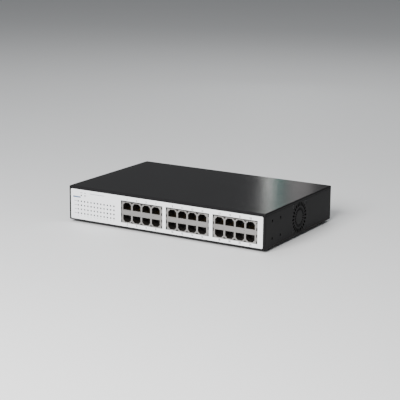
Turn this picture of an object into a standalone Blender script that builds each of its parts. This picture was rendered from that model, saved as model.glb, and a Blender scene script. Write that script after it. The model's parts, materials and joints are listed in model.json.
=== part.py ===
"""A 24-port desktop and rack network switch, built as an assembly of separate parts.

Units are metres. +X is the viewer's right when facing the ports, +Y runs to the rear, +Z is up.
The origin is the bottom centre of the whole object, on the plane of the rubber feet.
"""

import math

import bmesh
import bpy

MM = 0.001

# Driving dimensions of the sheet-steel case.
CASE_WIDTH = 280 * MM
CASE_DEPTH = 180 * MM
CASE_HEIGHT = 44 * MM
SHEET = 1.0 * MM
FOOT_HEIGHT = 3 * MM
REAR_PROUD = 3 * MM          # how far the mains inlet stands out of the rear wall
LID_LIP = 3 * MM             # height of the lid's down-turned edge
GAP = 0.3 * MM               # clearance between pieces that rest on each other

# Places that follow from them.
SIDE = CASE_WIDTH / 2
FRONT = -(CASE_DEPTH + REAR_PROUD) / 2
REAR = FRONT + CASE_DEPTH
BASE = FOOT_HEIGHT
TOP = BASE + CASE_HEIGHT
FLOOR = BASE + SHEET
SEAM = TOP - LID_LIP - GAP   # top edge of the tray's walls
CUT = 6 * MM                 # how far a cutter reaches past the sheet

# Front panel.
PLATE_FRONT = FRONT + 0.65 * MM
OVERLAY_THICKNESS = 0.35 * MM
OVERLAY_MARGIN = 3 * MM
OVERLAY_BOTTOM = BASE + 2 * MM
OVERLAY_TOP = SEAM - 0.4 * MM
OVERLAY_CORNER = 1.6 * MM
PLATE_RETURN = 10 * MM

# Socket blocks: three shielded blocks of two rows by four columns.
BLOCK_CENTRES = (-31.0 * MM, 34.4 * MM, 99.8 * MM)
PORT_PITCH = 13.97 * MM
PORT_COLUMNS = 4
PORT_WIDTH = 11.7 * MM
SHOULDER_HEIGHT = 6.2 * MM    # where a mouth's sides start to slope in to its latch notch
NOTCH_FOOT = (3.5 * MM, 8.5 * MM)   # half width and height at the foot of the notch
NOTCH_TOP = (3.2 * MM, 9.1 * MM)
PORT_DEPTH = 14 * MM
MID_Z = BASE + 20.2 * MM
MID_BAR = 6.4 * MM
SHIELD_WIDTH = 57.4 * MM
SHIELD_HEIGHT = 26.6 * MM
SHIELD_DEPTH = 25 * MM
SHIELD_SHEET = 0.4 * MM
CUTOUT_WIDTH = 60.6 * MM
CUTOUT_LOW = BASE + 6.6 * MM
CUTOUT_HIGH = BASE + 34.6 * MM
INSERT_SLOT_WIDTH = 52 * MM
CONTACTS = 8
CONTACT_PITCH = 1.02 * MM
CONTACT_WIDTH = 0.42 * MM
CONTACT_THICKNESS = 0.35 * MM
CONTACT_RISE = 1.8 * MM
CONTACT_RUN = 8 * MM

# Status lights.
LIGHT_COLUMNS = 12
LIGHT_ROWS = 4
LIGHT_FIRST_X = -SIDE + 14.0 * MM
LIGHT_PITCH_X = 4.94 * MM
LIGHT_FIRST_Z = BASE + 9.8 * MM
LIGHT_PITCH_Z = 5.2 * MM
LIGHT_SIZE = 2.0 * MM

# Rack-ear holes, a square pattern on each side wall.
EAR_Y = (FRONT + 18.4 * MM, FRONT + 39.2 * MM)
EAR_Z = (BASE + 10.9 * MM, BASE + 32.3 * MM)
EAR_HOLE = 1.7 * MM
EAR_BOSS = 3.0 * MM

# Fan behind the right-hand wall, turning about an axis along X.
FAN_Y = FRONT + 89.5 * MM
FAN_Z = BASE + 21.5 * MM
FAN_SIZE = 40 * MM
FAN_THICKNESS = 20 * MM
FAN_OUT = SIDE - SHEET - GAP
FAN_IN = FAN_OUT - FAN_THICKNESS
FAN_BORE = 19.0 * MM
FAN_SCREW_OFFSET = 16 * MM
BLADES = 7
BLADE_TIP = 18.2 * MM
HUB_RADIUS = 11.0 * MM
BLADE_ROOT = HUB_RADIUS - 0.4 * MM
SHAFT_RADIUS = 1.0 * MM
SHAFT_CLEARANCE = 0.08 * MM  # running clearance of the shaft in its bearing, on the radius
POLE_REACH = 5.7 * MM        # centre of a stator pole from the fan's axis
GRILLE_RAYS = 24
GRILLE_RINGS = ((8.6 * MM, 12.4 * MM, 1.5 * MM), (14.0 * MM, 19.0 * MM, 2.5 * MM))

# Boards.
BOARD_THICKNESS = 1.6 * MM
BOARD_Z = BASE + 5.0 * MM     # underside of both boards
BOARD_TOP = BOARD_Z + BOARD_THICKNESS
ON_BOARD = BOARD_TOP + GAP
SOLDERED = BOARD_TOP - 0.4 * MM   # where a soldered piece starts, sunk into its board
BOARD_LEFT, BOARD_RIGHT, BOARD_STEP = -134 * MM, 134 * MM, 112 * MM
BOARD_FRONT, BOARD_NOTCH, BOARD_REAR = FRONT + 3 * MM, FRONT + 64 * MM, FRONT + 104 * MM
POWER_LEFT, POWER_RIGHT = -30 * MM, 78 * MM
POWER_FRONT, POWER_REAR = FRONT + 110 * MM, FRONT + 172 * MM
STANDOFF_RADIUS = 2.75 * MM
STANDOFF_INSET = 6 * MM

# Mains inlet in the rear wall.
INLET_X = 104 * MM
INLET_Z = BASE + 22 * MM
INLET_BODY = (27.4 * MM, 19.6 * MM)
INLET_FLANGE = (49 * MM, 23 * MM)
INLET_SCREW_OFFSET = 20 * MM
INLET_DEPTH = 20 * MM
INLET_CAVITY = (24.0 * MM, 15.6 * MM)
INLET_CAVITY_DEPTH = 16 * MM
PIN_TAIL = 6 * MM            # how far a blade's tail stands out of the inlet's back

# Left-hand vents, and rear vents.
VENT_SLOT = (2.6 * MM, 24 * MM)
VENT_PITCH = 6.2 * MM
LEFT_VENTS = 14
LEFT_VENT_Y = FRONT + 66 * MM
REAR_VENTS = 9
REAR_VENT_X = -112 * MM

LID_SCREW_X = (-112 * MM, -12 * MM, 70 * MM)
LID_SCREW_Z = SEAM - 5 * MM
GROUND_X = 54 * MM
GROUND_Z = BASE + 16 * MM

FACING_FRONT = (math.radians(90), 0, 0)                 # local z points to -Y
FACING_RIGHT = (math.radians(90), 0, math.radians(90))  # local z points to +X
ALONG_X = (0, math.radians(90), 0)                      # local z points to +X, for turned pieces
FACING_REAR = (math.radians(-90), 0, 0)                 # local z points to +Y

for old in list(bpy.data.objects):
    bpy.data.objects.remove(old)

parts = bpy.data.collections.new("network_switch")
cutters = bpy.data.collections.new("cutters")
cutters.hide_render = True
bpy.context.scene.collection.children.link(parts)
bpy.context.scene.collection.children.link(cutters)


def material(name, colour, roughness, metallic=0.0):
    made = bpy.data.materials.new(name)
    made.use_nodes = True
    shader = made.node_tree.nodes["Principled BSDF"]
    shader.inputs["Base Color"].default_value = (*colour, 1)
    shader.inputs["Roughness"].default_value = roughness
    shader.inputs["Metallic"].default_value = metallic
    return made


CASE_PAINT = material("case_paint", (0.030, 0.030, 0.032), 0.38)
PANEL_WHITE = material("panel_white", (0.80, 0.81, 0.82), 0.35)
SHIELD_METAL = material("shield_metal", (0.62, 0.61, 0.59), 0.3, 1.0)
STEEL = material("steel", (0.55, 0.55, 0.56), 0.32, 1.0)
BLACK_SCREW = material("black_screw", (0.03, 0.03, 0.03), 0.35, 0.6)
BLACK_PLASTIC = material("black_plastic", (0.015, 0.014, 0.013), 0.45)
GOLD = material("contact_gold", (0.83, 0.62, 0.22), 0.25, 1.0)
CLEAR_PLASTIC = material("light_guide_plastic", (0.75, 0.78, 0.74), 0.15)
RUBBER = material("rubber", (0.02, 0.02, 0.02), 0.8)
BOARD_GREEN = material("board_green", (0.02, 0.16, 0.07), 0.4)
ALUMINIUM = material("aluminium", (0.70, 0.70, 0.72), 0.35, 1.0)
BRASS = material("brass", (0.72, 0.55, 0.25), 0.3, 1.0)
COPPER = material("copper", (0.72, 0.35, 0.18), 0.3, 1.0)
MAGNET = material("magnet", (0.10, 0.09, 0.09), 0.6)
TRANSFORMER = material("transformer_tape", (0.70, 0.55, 0.12), 0.5)
CAPACITOR = material("capacitor_sleeve", (0.02, 0.03, 0.10), 0.4)
MYLAR = material("insulating_film", (0.05, 0.05, 0.05), 0.3)
LABEL = material("label_paper", (0.75, 0.75, 0.74), 0.5)
WIRE = material("wire_sleeve", (0.06, 0.06, 0.06), 0.5)


def place(name, mesh, look, location=(0, 0, 0), rotation=(0, 0, 0)):
    """Puts a mesh in the scene: a part if it has a material, else a cutter."""
    obj = bpy.data.objects.new(name, mesh)
    obj.location = location
    obj.rotation_euler = rotation
    if look:
        mesh.materials.clear()
        mesh.materials.append(look)
        parts.objects.link(obj)
    else:
        obj.hide_render = True
        obj.display_type = "WIRE"
        cutters.objects.link(obj)
    return obj


def box(name, low, high, look=None, open_sides=()):
    """A box between two corners. A side in open_sides, such as "+Z", is left off."""
    centre = [(a + b) / 2 for a, b in zip(low, high)]
    shape = bmesh.new()
    bmesh.ops.create_cube(shape, size=1)
    bmesh.ops.scale(shape, vec=[b - a for a, b in zip(low, high)], verts=shape.verts)
    for side in open_sides:
        axis = "XYZ".index(side[1])
        sign = 1 if side[0] == "+" else -1
        gone = [face for face in shape.faces if face.normal[axis] * sign > 0.5]
        bmesh.ops.delete(shape, geom=gone, context="FACES_ONLY")
    mesh = bpy.data.meshes.new(name)
    shape.to_mesh(mesh)
    shape.free()
    return place(name, mesh, look, centre)


def block(name, x, y, z, width, depth, height, look=None):
    """A box standing at height z, centred on x, y."""
    return box(name, (x - width / 2, y - depth / 2, z), (x + width / 2, y + depth / 2, z + height), look)


def shell(name, low, high, thickness, look, open_sides):
    """A folded sheet-metal piece: an open box thickened inwards."""
    obj = box(name, low, high, look, open_sides)
    solid = obj.modifiers.new("sheet", "SOLIDIFY")
    solid.thickness = thickness
    solid.offset = -1
    solid.use_even_offset = True
    return obj


def extruded(name, outlines, thickness, look=None, location=(0, 0, 0), rotation=(0, 0, 0)):
    """Flat outlines in local XY, thickened evenly about their plane. Nested outlines are holes."""
    curve = bpy.data.curves.new(name, "CURVE")
    curve.dimensions = "2D"
    curve.fill_mode = "BOTH"
    curve.extrude = thickness / 2
    for outline in outlines:
        spline = curve.splines.new("POLY")
        spline.points.add(len(outline) - 1)
        for point, (x, y) in zip(spline.points, outline):
            point.co = (x, y, 0, 1)
        spline.use_cyclic_u = True
    guide = bpy.data.objects.new(name, curve)
    parts.objects.link(guide)
    graph = bpy.context.evaluated_depsgraph_get()
    mesh = bpy.data.meshes.new_from_object(guide.evaluated_get(graph))
    bpy.data.objects.remove(guide)
    shape = bmesh.new()
    shape.from_mesh(mesh)
    bmesh.ops.remove_doubles(shape, verts=shape.verts, dist=1e-6)
    bmesh.ops.recalc_face_normals(shape, faces=shape.faces)
    shape.to_mesh(mesh)
    shape.free()
    return place(name, mesh, look, location, rotation)


def turned(name, profile, look=None, location=(0, 0, 0), rotation=(0, 0, 0), steps=16, closed=False):
    """A turned piece about local z. The profile of (radius, height) runs down its outer side."""
    mesh = bpy.data.meshes.new(name)
    points = [(radius, 0, height) for radius, height in profile]
    edges = [(i, i + 1) for i in range(len(points) - 1)]
    if closed:
        edges.append((len(points) - 1, 0))
    mesh.from_pydata(points, edges, [])
    obj = place(name, mesh, look, location, rotation)
    screw = obj.modifiers.new("turn", "SCREW")
    screw.steps = steps
    screw.render_steps = steps
    screw.use_merge_vertices = True
    screw.merge_threshold = 1e-6
    screw.use_smooth_shade = False
    return obj


def ring(name, inner, outer, length, look=None, location=(0, 0, 0), rotation=(0, 0, 0), steps=24):
    """A plain ring about local z, centred on its location."""
    half = length / 2
    profile = [(outer, half), (outer, -half), (inner, -half), (inner, half)]
    return turned(name, profile, look, location, rotation, steps, closed=True)


def disc(name, radius, length, look=None, location=(0, 0, 0), rotation=(0, 0, 0), steps=12):
    """A plain cylinder about local z, centred on its location."""
    half = length / 2
    profile = [(0, half), (radius, half), (radius, -half), (0, -half)]
    return turned(name, profile, look, location, rotation, steps)


def combine(obj, operation, *others):
    for other in others:
        boolean = obj.modifiers.new(f"{operation.lower()}_{other.name}"[:60], "BOOLEAN")
        boolean.operation = operation
        boolean.solver = "EXACT"
        boolean.object = other
    return obj


def cut(obj, *others):
    return combine(obj, "DIFFERENCE", *others)


def join(obj, *others):
    return combine(obj, "UNION", *others)


def lead(name, route, radius, look):
    """A wire or sleeved bundle along a smooth curve through the route's points."""
    guide = bpy.data.curves.new(name + "_route", "CURVE")
    guide.dimensions = "3D"
    spline = guide.splines.new("BEZIER")
    spline.bezier_points.add(len(route) - 1)
    for point, place_at in zip(spline.bezier_points, route):
        point.co = place_at
        point.handle_left_type = point.handle_right_type = "AUTO"
    guide.resolution_u = 5
    holder = bpy.data.objects.new(name + "_route", guide)
    parts.objects.link(holder)
    graph = bpy.context.evaluated_depsgraph_get()
    smooth = bpy.data.meshes.new_from_object(holder.evaluated_get(graph))
    bpy.data.objects.remove(holder)
    curve = bpy.data.curves.new(name, "CURVE")
    curve.dimensions = "3D"
    curve.bevel_depth = radius
    curve.bevel_resolution = 1
    curve.use_fill_caps = True
    path = curve.splines.new("POLY")
    path.points.add(len(smooth.vertices) - 1)
    for point, vertex in zip(path.points, smooth.vertices):
        point.co = (*vertex.co, 1)
    obj = bpy.data.objects.new(name, curve)
    curve.materials.append(look)
    parts.objects.link(obj)
    return obj


def rectangle(x, y, width, height):
    """The corners of a rectangle centred on x, y."""
    left, right, low, high = x - width / 2, x + width / 2, y - height / 2, y + height / 2
    return [(left, low), (right, low), (right, high), (left, high)]


def rounded(x, y, width, height, radius, steps=3):
    """A rectangle with rounded corners, centred on x, y."""
    outline = []
    corners = ((1, 1, 0), (-1, 1, 90), (-1, -1, 180), (1, -1, 270))
    for across, up, start in corners:
        centre_x = x + across * (width / 2 - radius)
        centre_y = y + up * (height / 2 - radius)
        for step in range(steps + 1):
            angle = math.radians(start + 90 * step / steps)
            outline.append((centre_x + radius * math.cos(angle), centre_y + radius * math.sin(angle)))
    return outline


def circle(x, y, radius, steps=12):
    turn = 2 * math.pi / steps
    return [(x + radius * math.cos(turn * i), y + radius * math.sin(turn * i)) for i in range(steps)]


def socket_outline(x, z, up):
    """A socket's mouth, from its contact side at z: straight sides, sloped shoulders and a latch notch.

    up is 1 or -1, the way the notch points.
    """
    side = [(PORT_WIDTH / 2, 0), (PORT_WIDTH / 2, SHOULDER_HEIGHT), NOTCH_FOOT, NOTCH_TOP]
    right = [(x + across, z + up * rise) for across, rise in side]
    left = [(x - across, z + up * rise) for across, rise in reversed(side)]
    return right + left


def column_offsets():
    first = -PORT_PITCH * (PORT_COLUMNS - 1) / 2
    return [first + PORT_PITCH * i for i in range(PORT_COLUMNS)]


def board_posts():
    """Where the main board's and the power board's standoffs stand, as (x, y)."""
    main = [(x, y) for x in (BOARD_LEFT + STANDOFF_INSET, 1.7 * MM, BOARD_STEP - STANDOFF_INSET)
            for y in (FRONT + 50 * MM, BOARD_REAR - STANDOFF_INSET)]
    power = [(x, y) for x in (POWER_LEFT + STANDOFF_INSET, POWER_RIGHT - STANDOFF_INSET)
             for y in (POWER_FRONT + STANDOFF_INSET, POWER_REAR - STANDOFF_INSET)]
    return main, power


def make_base_tray():
    """Floor, side walls and rear wall, folded from one sheet, with pressed-in posts and tapped bosses."""
    tray = shell("base_tray", (-SIDE, FRONT, BASE), (SIDE, REAR, SEAM), SHEET, CASE_PAINT, ("+Z", "-Y"))
    main_posts, power_posts = board_posts()
    post_height = BOARD_Z - GAP - FLOOR
    posts = extruded("posts", [circle(x, y, STANDOFF_RADIUS, 6) for x, y in main_posts + power_posts],
                     post_height + SHEET / 2, None, (0, 0, FLOOR + post_height / 2 - SHEET / 4))
    join(tray, posts)
    centre = [(y, z) for y in EAR_Y for z in EAR_Z]
    for side, name in ((-1, "left"), (1, "right")):
        boss_x = side * (SIDE - SHEET - 0.6 * MM)
        bosses = extruded(f"ear_bosses_{name}", [circle(y, z, EAR_BOSS, 8) for y, z in centre],
                          1.8 * MM, None, (boss_x, 0, 0), FACING_RIGHT)
        join(tray, bosses)
    holes = extruded("ear_holes", [circle(y, z, EAR_HOLE, 8) for y, z in centre],
                     CASE_WIDTH + CUT, None, (0, 0, 0), FACING_RIGHT)
    cut(tray, holes)
    rays = []
    for inner, outer, width in GRILLE_RINGS:
        for ray in range(GRILLE_RAYS):
            turn = 2 * math.pi * ray / GRILLE_RAYS
            along, across = (math.cos(turn), math.sin(turn)), (-math.sin(turn), math.cos(turn))
            rays.append([(FAN_Y + along[0] * r + across[0] * s * width / 2,
                          FAN_Z + along[1] * r + across[1] * s * width / 2)
                         for r, s in ((inner, -1), (outer, -1), (outer, 1), (inner, 1))])
    screws = [circle(FAN_Y + a * FAN_SCREW_OFFSET, FAN_Z + b * FAN_SCREW_OFFSET, 3.0 * MM, 10)
              for a in (-1, 1) for b in (-1, 1)]
    grille = extruded("fan_grille_slots", rays + screws, CUT, None, (SIDE, 0, 0), FACING_RIGHT)
    vents = extruded("left_vent_slots",
                     [rectangle(LEFT_VENT_Y + VENT_PITCH * i, BASE + CASE_HEIGHT / 2, *VENT_SLOT)
                      for i in range(LEFT_VENTS)], CUT, None, (-SIDE, 0, 0), FACING_RIGHT)
    rear = [rectangle(REAR_VENT_X + VENT_PITCH * i, BASE + 18 * MM, *VENT_SLOT) for i in range(REAR_VENTS)]
    rear.append(rectangle(INLET_X, INLET_Z, INLET_BODY[0] + 2 * GAP, INLET_BODY[1] + 2 * GAP))
    rear += [circle(x, LID_SCREW_Z, 1.9 * MM, 8) for x in LID_SCREW_X]
    rear += [circle(INLET_X + s * INLET_SCREW_OFFSET, INLET_Z, 1.9 * MM, 8) for s in (-1, 1)]
    rear.append(circle(GROUND_X, GROUND_Z, 2.3 * MM, 8))
    openings = extruded("rear_openings", rear, CUT, None, (0, REAR, 0), FACING_FRONT)
    cut(tray, grille, vents, openings)
    return tray


def make_lid():
    """Top plate with a short lip all round, flush with the walls, and tabs that reach inside the walls."""
    lid = shell("lid", (-SIDE, FRONT, TOP - LID_LIP), (SIDE, REAR, TOP), SHEET, CASE_PAINT, ("-Z",))
    inside = REAR - SHEET - GAP
    for number, x in enumerate(LID_SCREW_X):
        tab = box(f"rear_tab_{number + 1}", (x - 7 * MM, inside - SHEET, LID_SCREW_Z - 5 * MM),
                  (x + 7 * MM, inside, TOP - SHEET / 2))
        join(lid, tab)
    for number, x in enumerate((-70 * MM, 1.7 * MM, 67 * MM)):
        hook = box(f"front_tab_{number + 1}", (x - 7 * MM, FRONT + 2.2 * MM, SEAM - 5 * MM),
                   (x + 7 * MM, FRONT + 3.2 * MM, TOP - SHEET / 2))
        join(lid, hook)
    holes = extruded("lid_tab_holes", [circle(x, LID_SCREW_Z, 1.9 * MM, 8) for x in LID_SCREW_X],
                     4 * MM, None, (0, inside - SHEET / 2, 0), FACING_FRONT)
    cut(lid, holes)
    return lid


def cutout_outlines():
    middle, height = (CUTOUT_LOW + CUTOUT_HIGH) / 2, CUTOUT_HIGH - CUTOUT_LOW
    return [rectangle(x, middle, CUTOUT_WIDTH, height) for x in BLOCK_CENTRES]


def make_front_plate():
    """Steel front plate between the side walls, with cut-outs for the sockets and slots for the lights."""
    reach = SIDE - SHEET - GAP
    plate = shell("front_plate", (-reach, PLATE_FRONT, FLOOR + GAP), (reach, FRONT + PLATE_RETURN, SEAM),
                  SHEET, CASE_PAINT, ("+Z", "-Z", "+Y"))
    rise = LIGHT_PITCH_Z * (LIGHT_ROWS - 1)
    slot = (LIGHT_SIZE + 0.8 * MM, rise + LIGHT_SIZE + 0.8 * MM)
    slots = [rectangle(LIGHT_FIRST_X + LIGHT_PITCH_X * i, LIGHT_FIRST_Z + rise / 2, *slot)
             for i in range(LIGHT_COLUMNS)]
    cut(plate, extruded("plate_cutouts", cutout_outlines() + slots, 5 * MM, None,
                        (0, PLATE_FRONT, 0), FACING_FRONT))
    return plate


def make_front_overlay():
    """Printed face sheet stuck on the front plate. Its light windows are printed clear, not cut."""
    width = CASE_WIDTH - 2 * OVERLAY_MARGIN
    middle, height = (OVERLAY_BOTTOM + OVERLAY_TOP) / 2, OVERLAY_TOP - OVERLAY_BOTTOM
    outline = rounded(0, middle, width, height, OVERLAY_CORNER)
    return extruded("front_overlay", [outline] + cutout_outlines(), OVERLAY_THICKNESS, PANEL_WHITE,
                    (0, FRONT + OVERLAY_THICKNESS / 2, 0), FACING_FRONT)


def make_port_shield(number, x):
    """Sheet-metal shield round a socket block, open at the board and at the rear."""
    low, high = MID_Z - SHIELD_HEIGHT / 2, MID_Z + SHIELD_HEIGHT / 2
    half = SHIELD_WIDTH / 2
    shield = shell(f"port_shield_{number}", (x - half, FRONT, low), (x + half, FRONT + SHIELD_DEPTH, high),
                   SHIELD_SHEET, SHIELD_METAL, ("-Z", "+Y"))
    mouths = [socket_outline(x + offset, MID_Z + up * MID_BAR / 2, up)
              for offset in column_offsets() for up in (-1, 1)]
    cut(shield, extruded(f"shield_mouths_{number}", mouths, 3 * MM, None, (0, FRONT, 0), FACING_FRONT))
    return shield


def make_port_housing(number, x):
    """Moulded body of a socket block: eight blind sockets round a slot that takes the contact insert."""
    inset = SHIELD_SHEET + GAP
    half_width, half_height = SHIELD_WIDTH / 2 - inset, SHIELD_HEIGHT / 2 - inset
    front, rear = FRONT + inset, FRONT + SHIELD_DEPTH - GAP
    low = MID_Z - SHIELD_HEIGHT / 2 + 0.1 * MM
    housing = box(f"port_housing_{number}", (x - half_width, front, low),
                  (x + half_width, rear, MID_Z + half_height), BLACK_PLASTIC)
    mouths = [socket_outline(x + offset, MID_Z + up * (MID_BAR / 2 - 0.2 * MM), up)
              for offset in column_offsets() for up in (-1, 1)]
    sockets = extruded(f"sockets_{number}", mouths, PORT_DEPTH, None,
                       (0, FRONT + PORT_DEPTH / 2, 0), FACING_FRONT)
    slot = box(f"insert_slot_{number}", (x - INSERT_SLOT_WIDTH / 2, FRONT + 3.2 * MM, MID_Z - MID_BAR / 2),
               (x + INSERT_SLOT_WIDTH / 2, rear + CUT, MID_Z + MID_BAR / 2))
    cut(housing, sockets, slot)
    return housing


def make_port_contacts(number, x):
    """Contact insert: a slab between the two rows that carries eight sprung contacts for each socket."""
    half_height = MID_BAR / 2 - GAP
    half_width = INSERT_SLOT_WIDTH / 2 - GAP
    insert = box(f"port_contacts_{number}", (x - half_width, FRONT + 3.6 * MM, MID_Z - half_height),
                 (x + half_width, FRONT + SHIELD_DEPTH, MID_Z + half_height), GOLD)
    starts = [offset + CONTACT_PITCH * (i - (CONTACTS - 1) / 2)
              for offset in column_offsets() for i in range(CONTACTS)]
    near, far = FRONT + 4.4 * MM, FRONT + 4.4 * MM + CONTACT_RUN
    sink = 0.3 * MM
    rise = [(near, -sink), (far, CONTACT_RISE - CONTACT_THICKNESS), (far, CONTACT_RISE), (near, 0.0)]
    for up, side in ((1, "upper"), (-1, "lower")):
        wires = bmesh.new()
        for start in starts:
            edges = [x + start - CONTACT_WIDTH / 2, x + start + CONTACT_WIDTH / 2]
            rings = [[wires.verts.new((across, y, MID_Z + up * (half_height + h))) for y, h in rise]
                     for across in edges]
            wires.faces.new(rings[0])
            wires.faces.new(reversed(rings[1]))
            for i in range(len(rise)):
                j = (i + 1) % len(rise)
                wires.faces.new((rings[0][j], rings[0][i], rings[1][i], rings[1][j]))
        bmesh.ops.recalc_face_normals(wires, faces=wires.faces)
        mesh = bpy.data.meshes.new(f"contact_wires_{side}_{number}")
        wires.to_mesh(mesh)
        wires.free()
        join(insert, place(mesh.name, mesh, None))
    return insert


def make_light_guide():
    """One clear moulding: a light pipe behind each window, all standing on one upright plate."""
    half = LIGHT_SIZE / 2
    front, root, back = PLATE_FRONT + 0.1 * MM, PLATE_FRONT + 6 * MM, PLATE_FRONT + 8.4 * MM
    last = LIGHT_FIRST_X + LIGHT_PITCH_X * (LIGHT_COLUMNS - 1)
    high = LIGHT_FIRST_Z + LIGHT_PITCH_Z * (LIGHT_ROWS - 1)
    guide = box("light_guide", (LIGHT_FIRST_X - 2 * half, root, ON_BOARD),
                (last + 2 * half, back, high + 2 * half), CLEAR_PLASTIC)
    pipes = []
    for column in range(LIGHT_COLUMNS):
        x = LIGHT_FIRST_X + LIGHT_PITCH_X * column
        for row in range(LIGHT_ROWS):
            pipes.append(rectangle(x, LIGHT_FIRST_Z + LIGHT_PITCH_Z * row, LIGHT_SIZE, LIGHT_SIZE))
    length = root - front + 0.5 * MM
    join(guide, extruded("light_pipes", pipes, length, None, (0, front + length / 2, 0), FACING_FRONT))
    return guide


def screw(name, location, rotation, head_radius, head_height, shank_radius, shank_length, look, flat=False):
    """A screw whose head's underside is at its location, with its head towards local +z."""
    if flat:
        head = [(0, head_height), (head_radius, head_height), (head_radius, head_height - 0.25 * MM)]
    else:
        head = [(0, head_height), (head_radius * 0.72, head_height), (head_radius, head_height * 0.45),
                (head_radius, 0)]
    shank = [(shank_radius, 0), (shank_radius, -shank_length), (0, -shank_length - shank_radius * 0.6)]
    return turned(name, head + shank, look, location, rotation, 10)


def make_fan():
    """A 40 mm axial fan: frame with motor seat, stator, bearing, and a rotor with hub, magnet and shaft."""
    centre = FAN_OUT - FAN_THICKNESS / 2
    corner = FAN_SCREW_OFFSET
    outline = rounded(FAN_Y, FAN_Z, FAN_SIZE, FAN_SIZE, 3 * MM, 2)
    holes = [circle(FAN_Y + a * corner, FAN_Z + b * corner, 2.0 * MM, 8) for a in (-1, 1) for b in (-1, 1)]
    frame = extruded("fan_frame", [outline, circle(FAN_Y, FAN_Z, FAN_BORE, 32)] + holes,
                     FAN_THICKNESS, BLACK_PLASTIC, (centre, 0, 0), FACING_RIGHT)
    seat_x = FAN_IN + 1.2 * MM
    seat = disc("motor_seat", HUB_RADIUS, 2.4 * MM, None, (seat_x, FAN_Y, FAN_Z), ALONG_X, 20)
    join(frame, seat)
    reach = (FAN_BORE + 0.5 * MM) / 2
    for number in range(3):
        turn = math.radians(90 + 120 * number)
        strut = box(f"fan_strut_{number + 1}", (-1.2 * MM, -reach, -1 * MM), (1.2 * MM, reach, 1 * MM))
        strut.rotation_euler = (turn, 0, 0)
        strut.location = (seat_x, FAN_Y + reach * math.cos(turn), FAN_Z + reach * math.sin(turn))
        join(frame, strut)
    bore = disc("bearing_hole", 2.6 * MM, 8 * MM, None, (seat_x, FAN_Y, FAN_Z), ALONG_X, 12)
    cut(frame, bore)

    ring("fan_bearing", SHAFT_RADIUS + SHAFT_CLEARANCE, 2.3 * MM, 12 * MM, BRASS,
         (FAN_IN + 6.6 * MM, FAN_Y, FAN_Z), ALONG_X, 12)
    stator_x = FAN_IN + 7.4 * MM
    stator = ring("fan_stator", 2.7 * MM, 4.6 * MM, 7 * MM, COPPER, (stator_x, FAN_Y, FAN_Z), ALONG_X, 12)
    for number in range(4):
        turn = math.radians(45 + 90 * number)
        pole = box(f"stator_pole_{number + 1}", (-2.6 * MM, -2.2 * MM, -1.6 * MM),
                   (2.6 * MM, 2.2 * MM, 1.6 * MM))
        pole.rotation_euler = (turn, 0, 0)
        pole.location = (stator_x, FAN_Y + POLE_REACH * math.cos(turn), FAN_Z + POLE_REACH * math.sin(turn))
        join(stator, pole)

    hub_back, hub_front = FAN_IN + 3.2 * MM, FAN_OUT - 1.6 * MM
    cup = [(0, hub_front), (HUB_RADIUS - 1 * MM, hub_front), (HUB_RADIUS, hub_front - 1 * MM),
           (HUB_RADIUS, hub_back), (HUB_RADIUS - 1 * MM, hub_back),
           (HUB_RADIUS - 1 * MM, hub_front - 1.4 * MM), (0, hub_front - 1.4 * MM)]
    rotor = turned("fan_rotor", cup, BLACK_PLASTIC, (0, FAN_Y, FAN_Z), ALONG_X, 21)
    for number in range(BLADES):
        blade = make_blade(f"fan_blade_{number + 1}", 2 * math.pi * number / BLADES, hub_back, hub_front)
        join(rotor, blade)
    ring("fan_magnet_ring", HUB_RADIUS - 2.5 * MM, HUB_RADIUS - 1.4 * MM, 9 * MM, MAGNET,
         (FAN_IN + 8.4 * MM, FAN_Y, FAN_Z), ALONG_X, 16)
    disc("fan_shaft", SHAFT_RADIUS, hub_front - 1.7 * MM - FAN_IN - 1 * MM, STEEL,
         ((FAN_IN + 1 * MM + hub_front - 1.7 * MM) / 2, FAN_Y, FAN_Z), ALONG_X, 12)

    spots = [(a, b) for a in (-1, 1) for b in (-1, 1)]
    for number, (a, b) in enumerate(spots):
        screw(f"fan_screw_{number + 1}", (SIDE - SHEET, FAN_Y + a * corner, FAN_Z + b * corner), ALONG_X,
              2.6 * MM, 0.8 * MM, 1.5 * MM, 9 * MM, BLACK_SCREW, flat=True)


def make_blade(name, turn, back, front):
    """One fan blade: a twisted, thickened sheet from inside the hub's wall to the tip."""
    stations = 4
    mesh = bpy.data.meshes.new(name)
    points, faces = [], []
    for i in range(stations):
        share = i / (stations - 1)
        radius = BLADE_ROOT + share * (BLADE_TIP - BLADE_ROOT)
        pitch = math.radians(46 - 14 * share)
        half_chord = (front - back - 3.4 * MM) / 2 / math.cos(pitch)
        sweep = turn + math.radians(10) * share
        middle = (back + front) / 2
        for end in (-1, 0, 1):
            across = end * half_chord * math.sin(pitch) / radius
            along = end * half_chord * math.cos(pitch)
            belly = 0.10 * (1 - abs(end))
            angle = sweep + across + belly
            points.append((middle + along, FAN_Y + radius * math.cos(angle),
                           FAN_Z + radius * math.sin(angle)))
    for i in range(stations - 1):
        for j in range(2):
            corner = i * 3 + j
            faces.append((corner, corner + 1, corner + 4, corner + 3))
    mesh.from_pydata(points, [], faces)
    blade = place(name, mesh, None)
    solid = blade.modifiers.new("blade", "SOLIDIFY")
    solid.thickness = 0.9 * MM
    solid.offset = 0
    return blade


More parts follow.
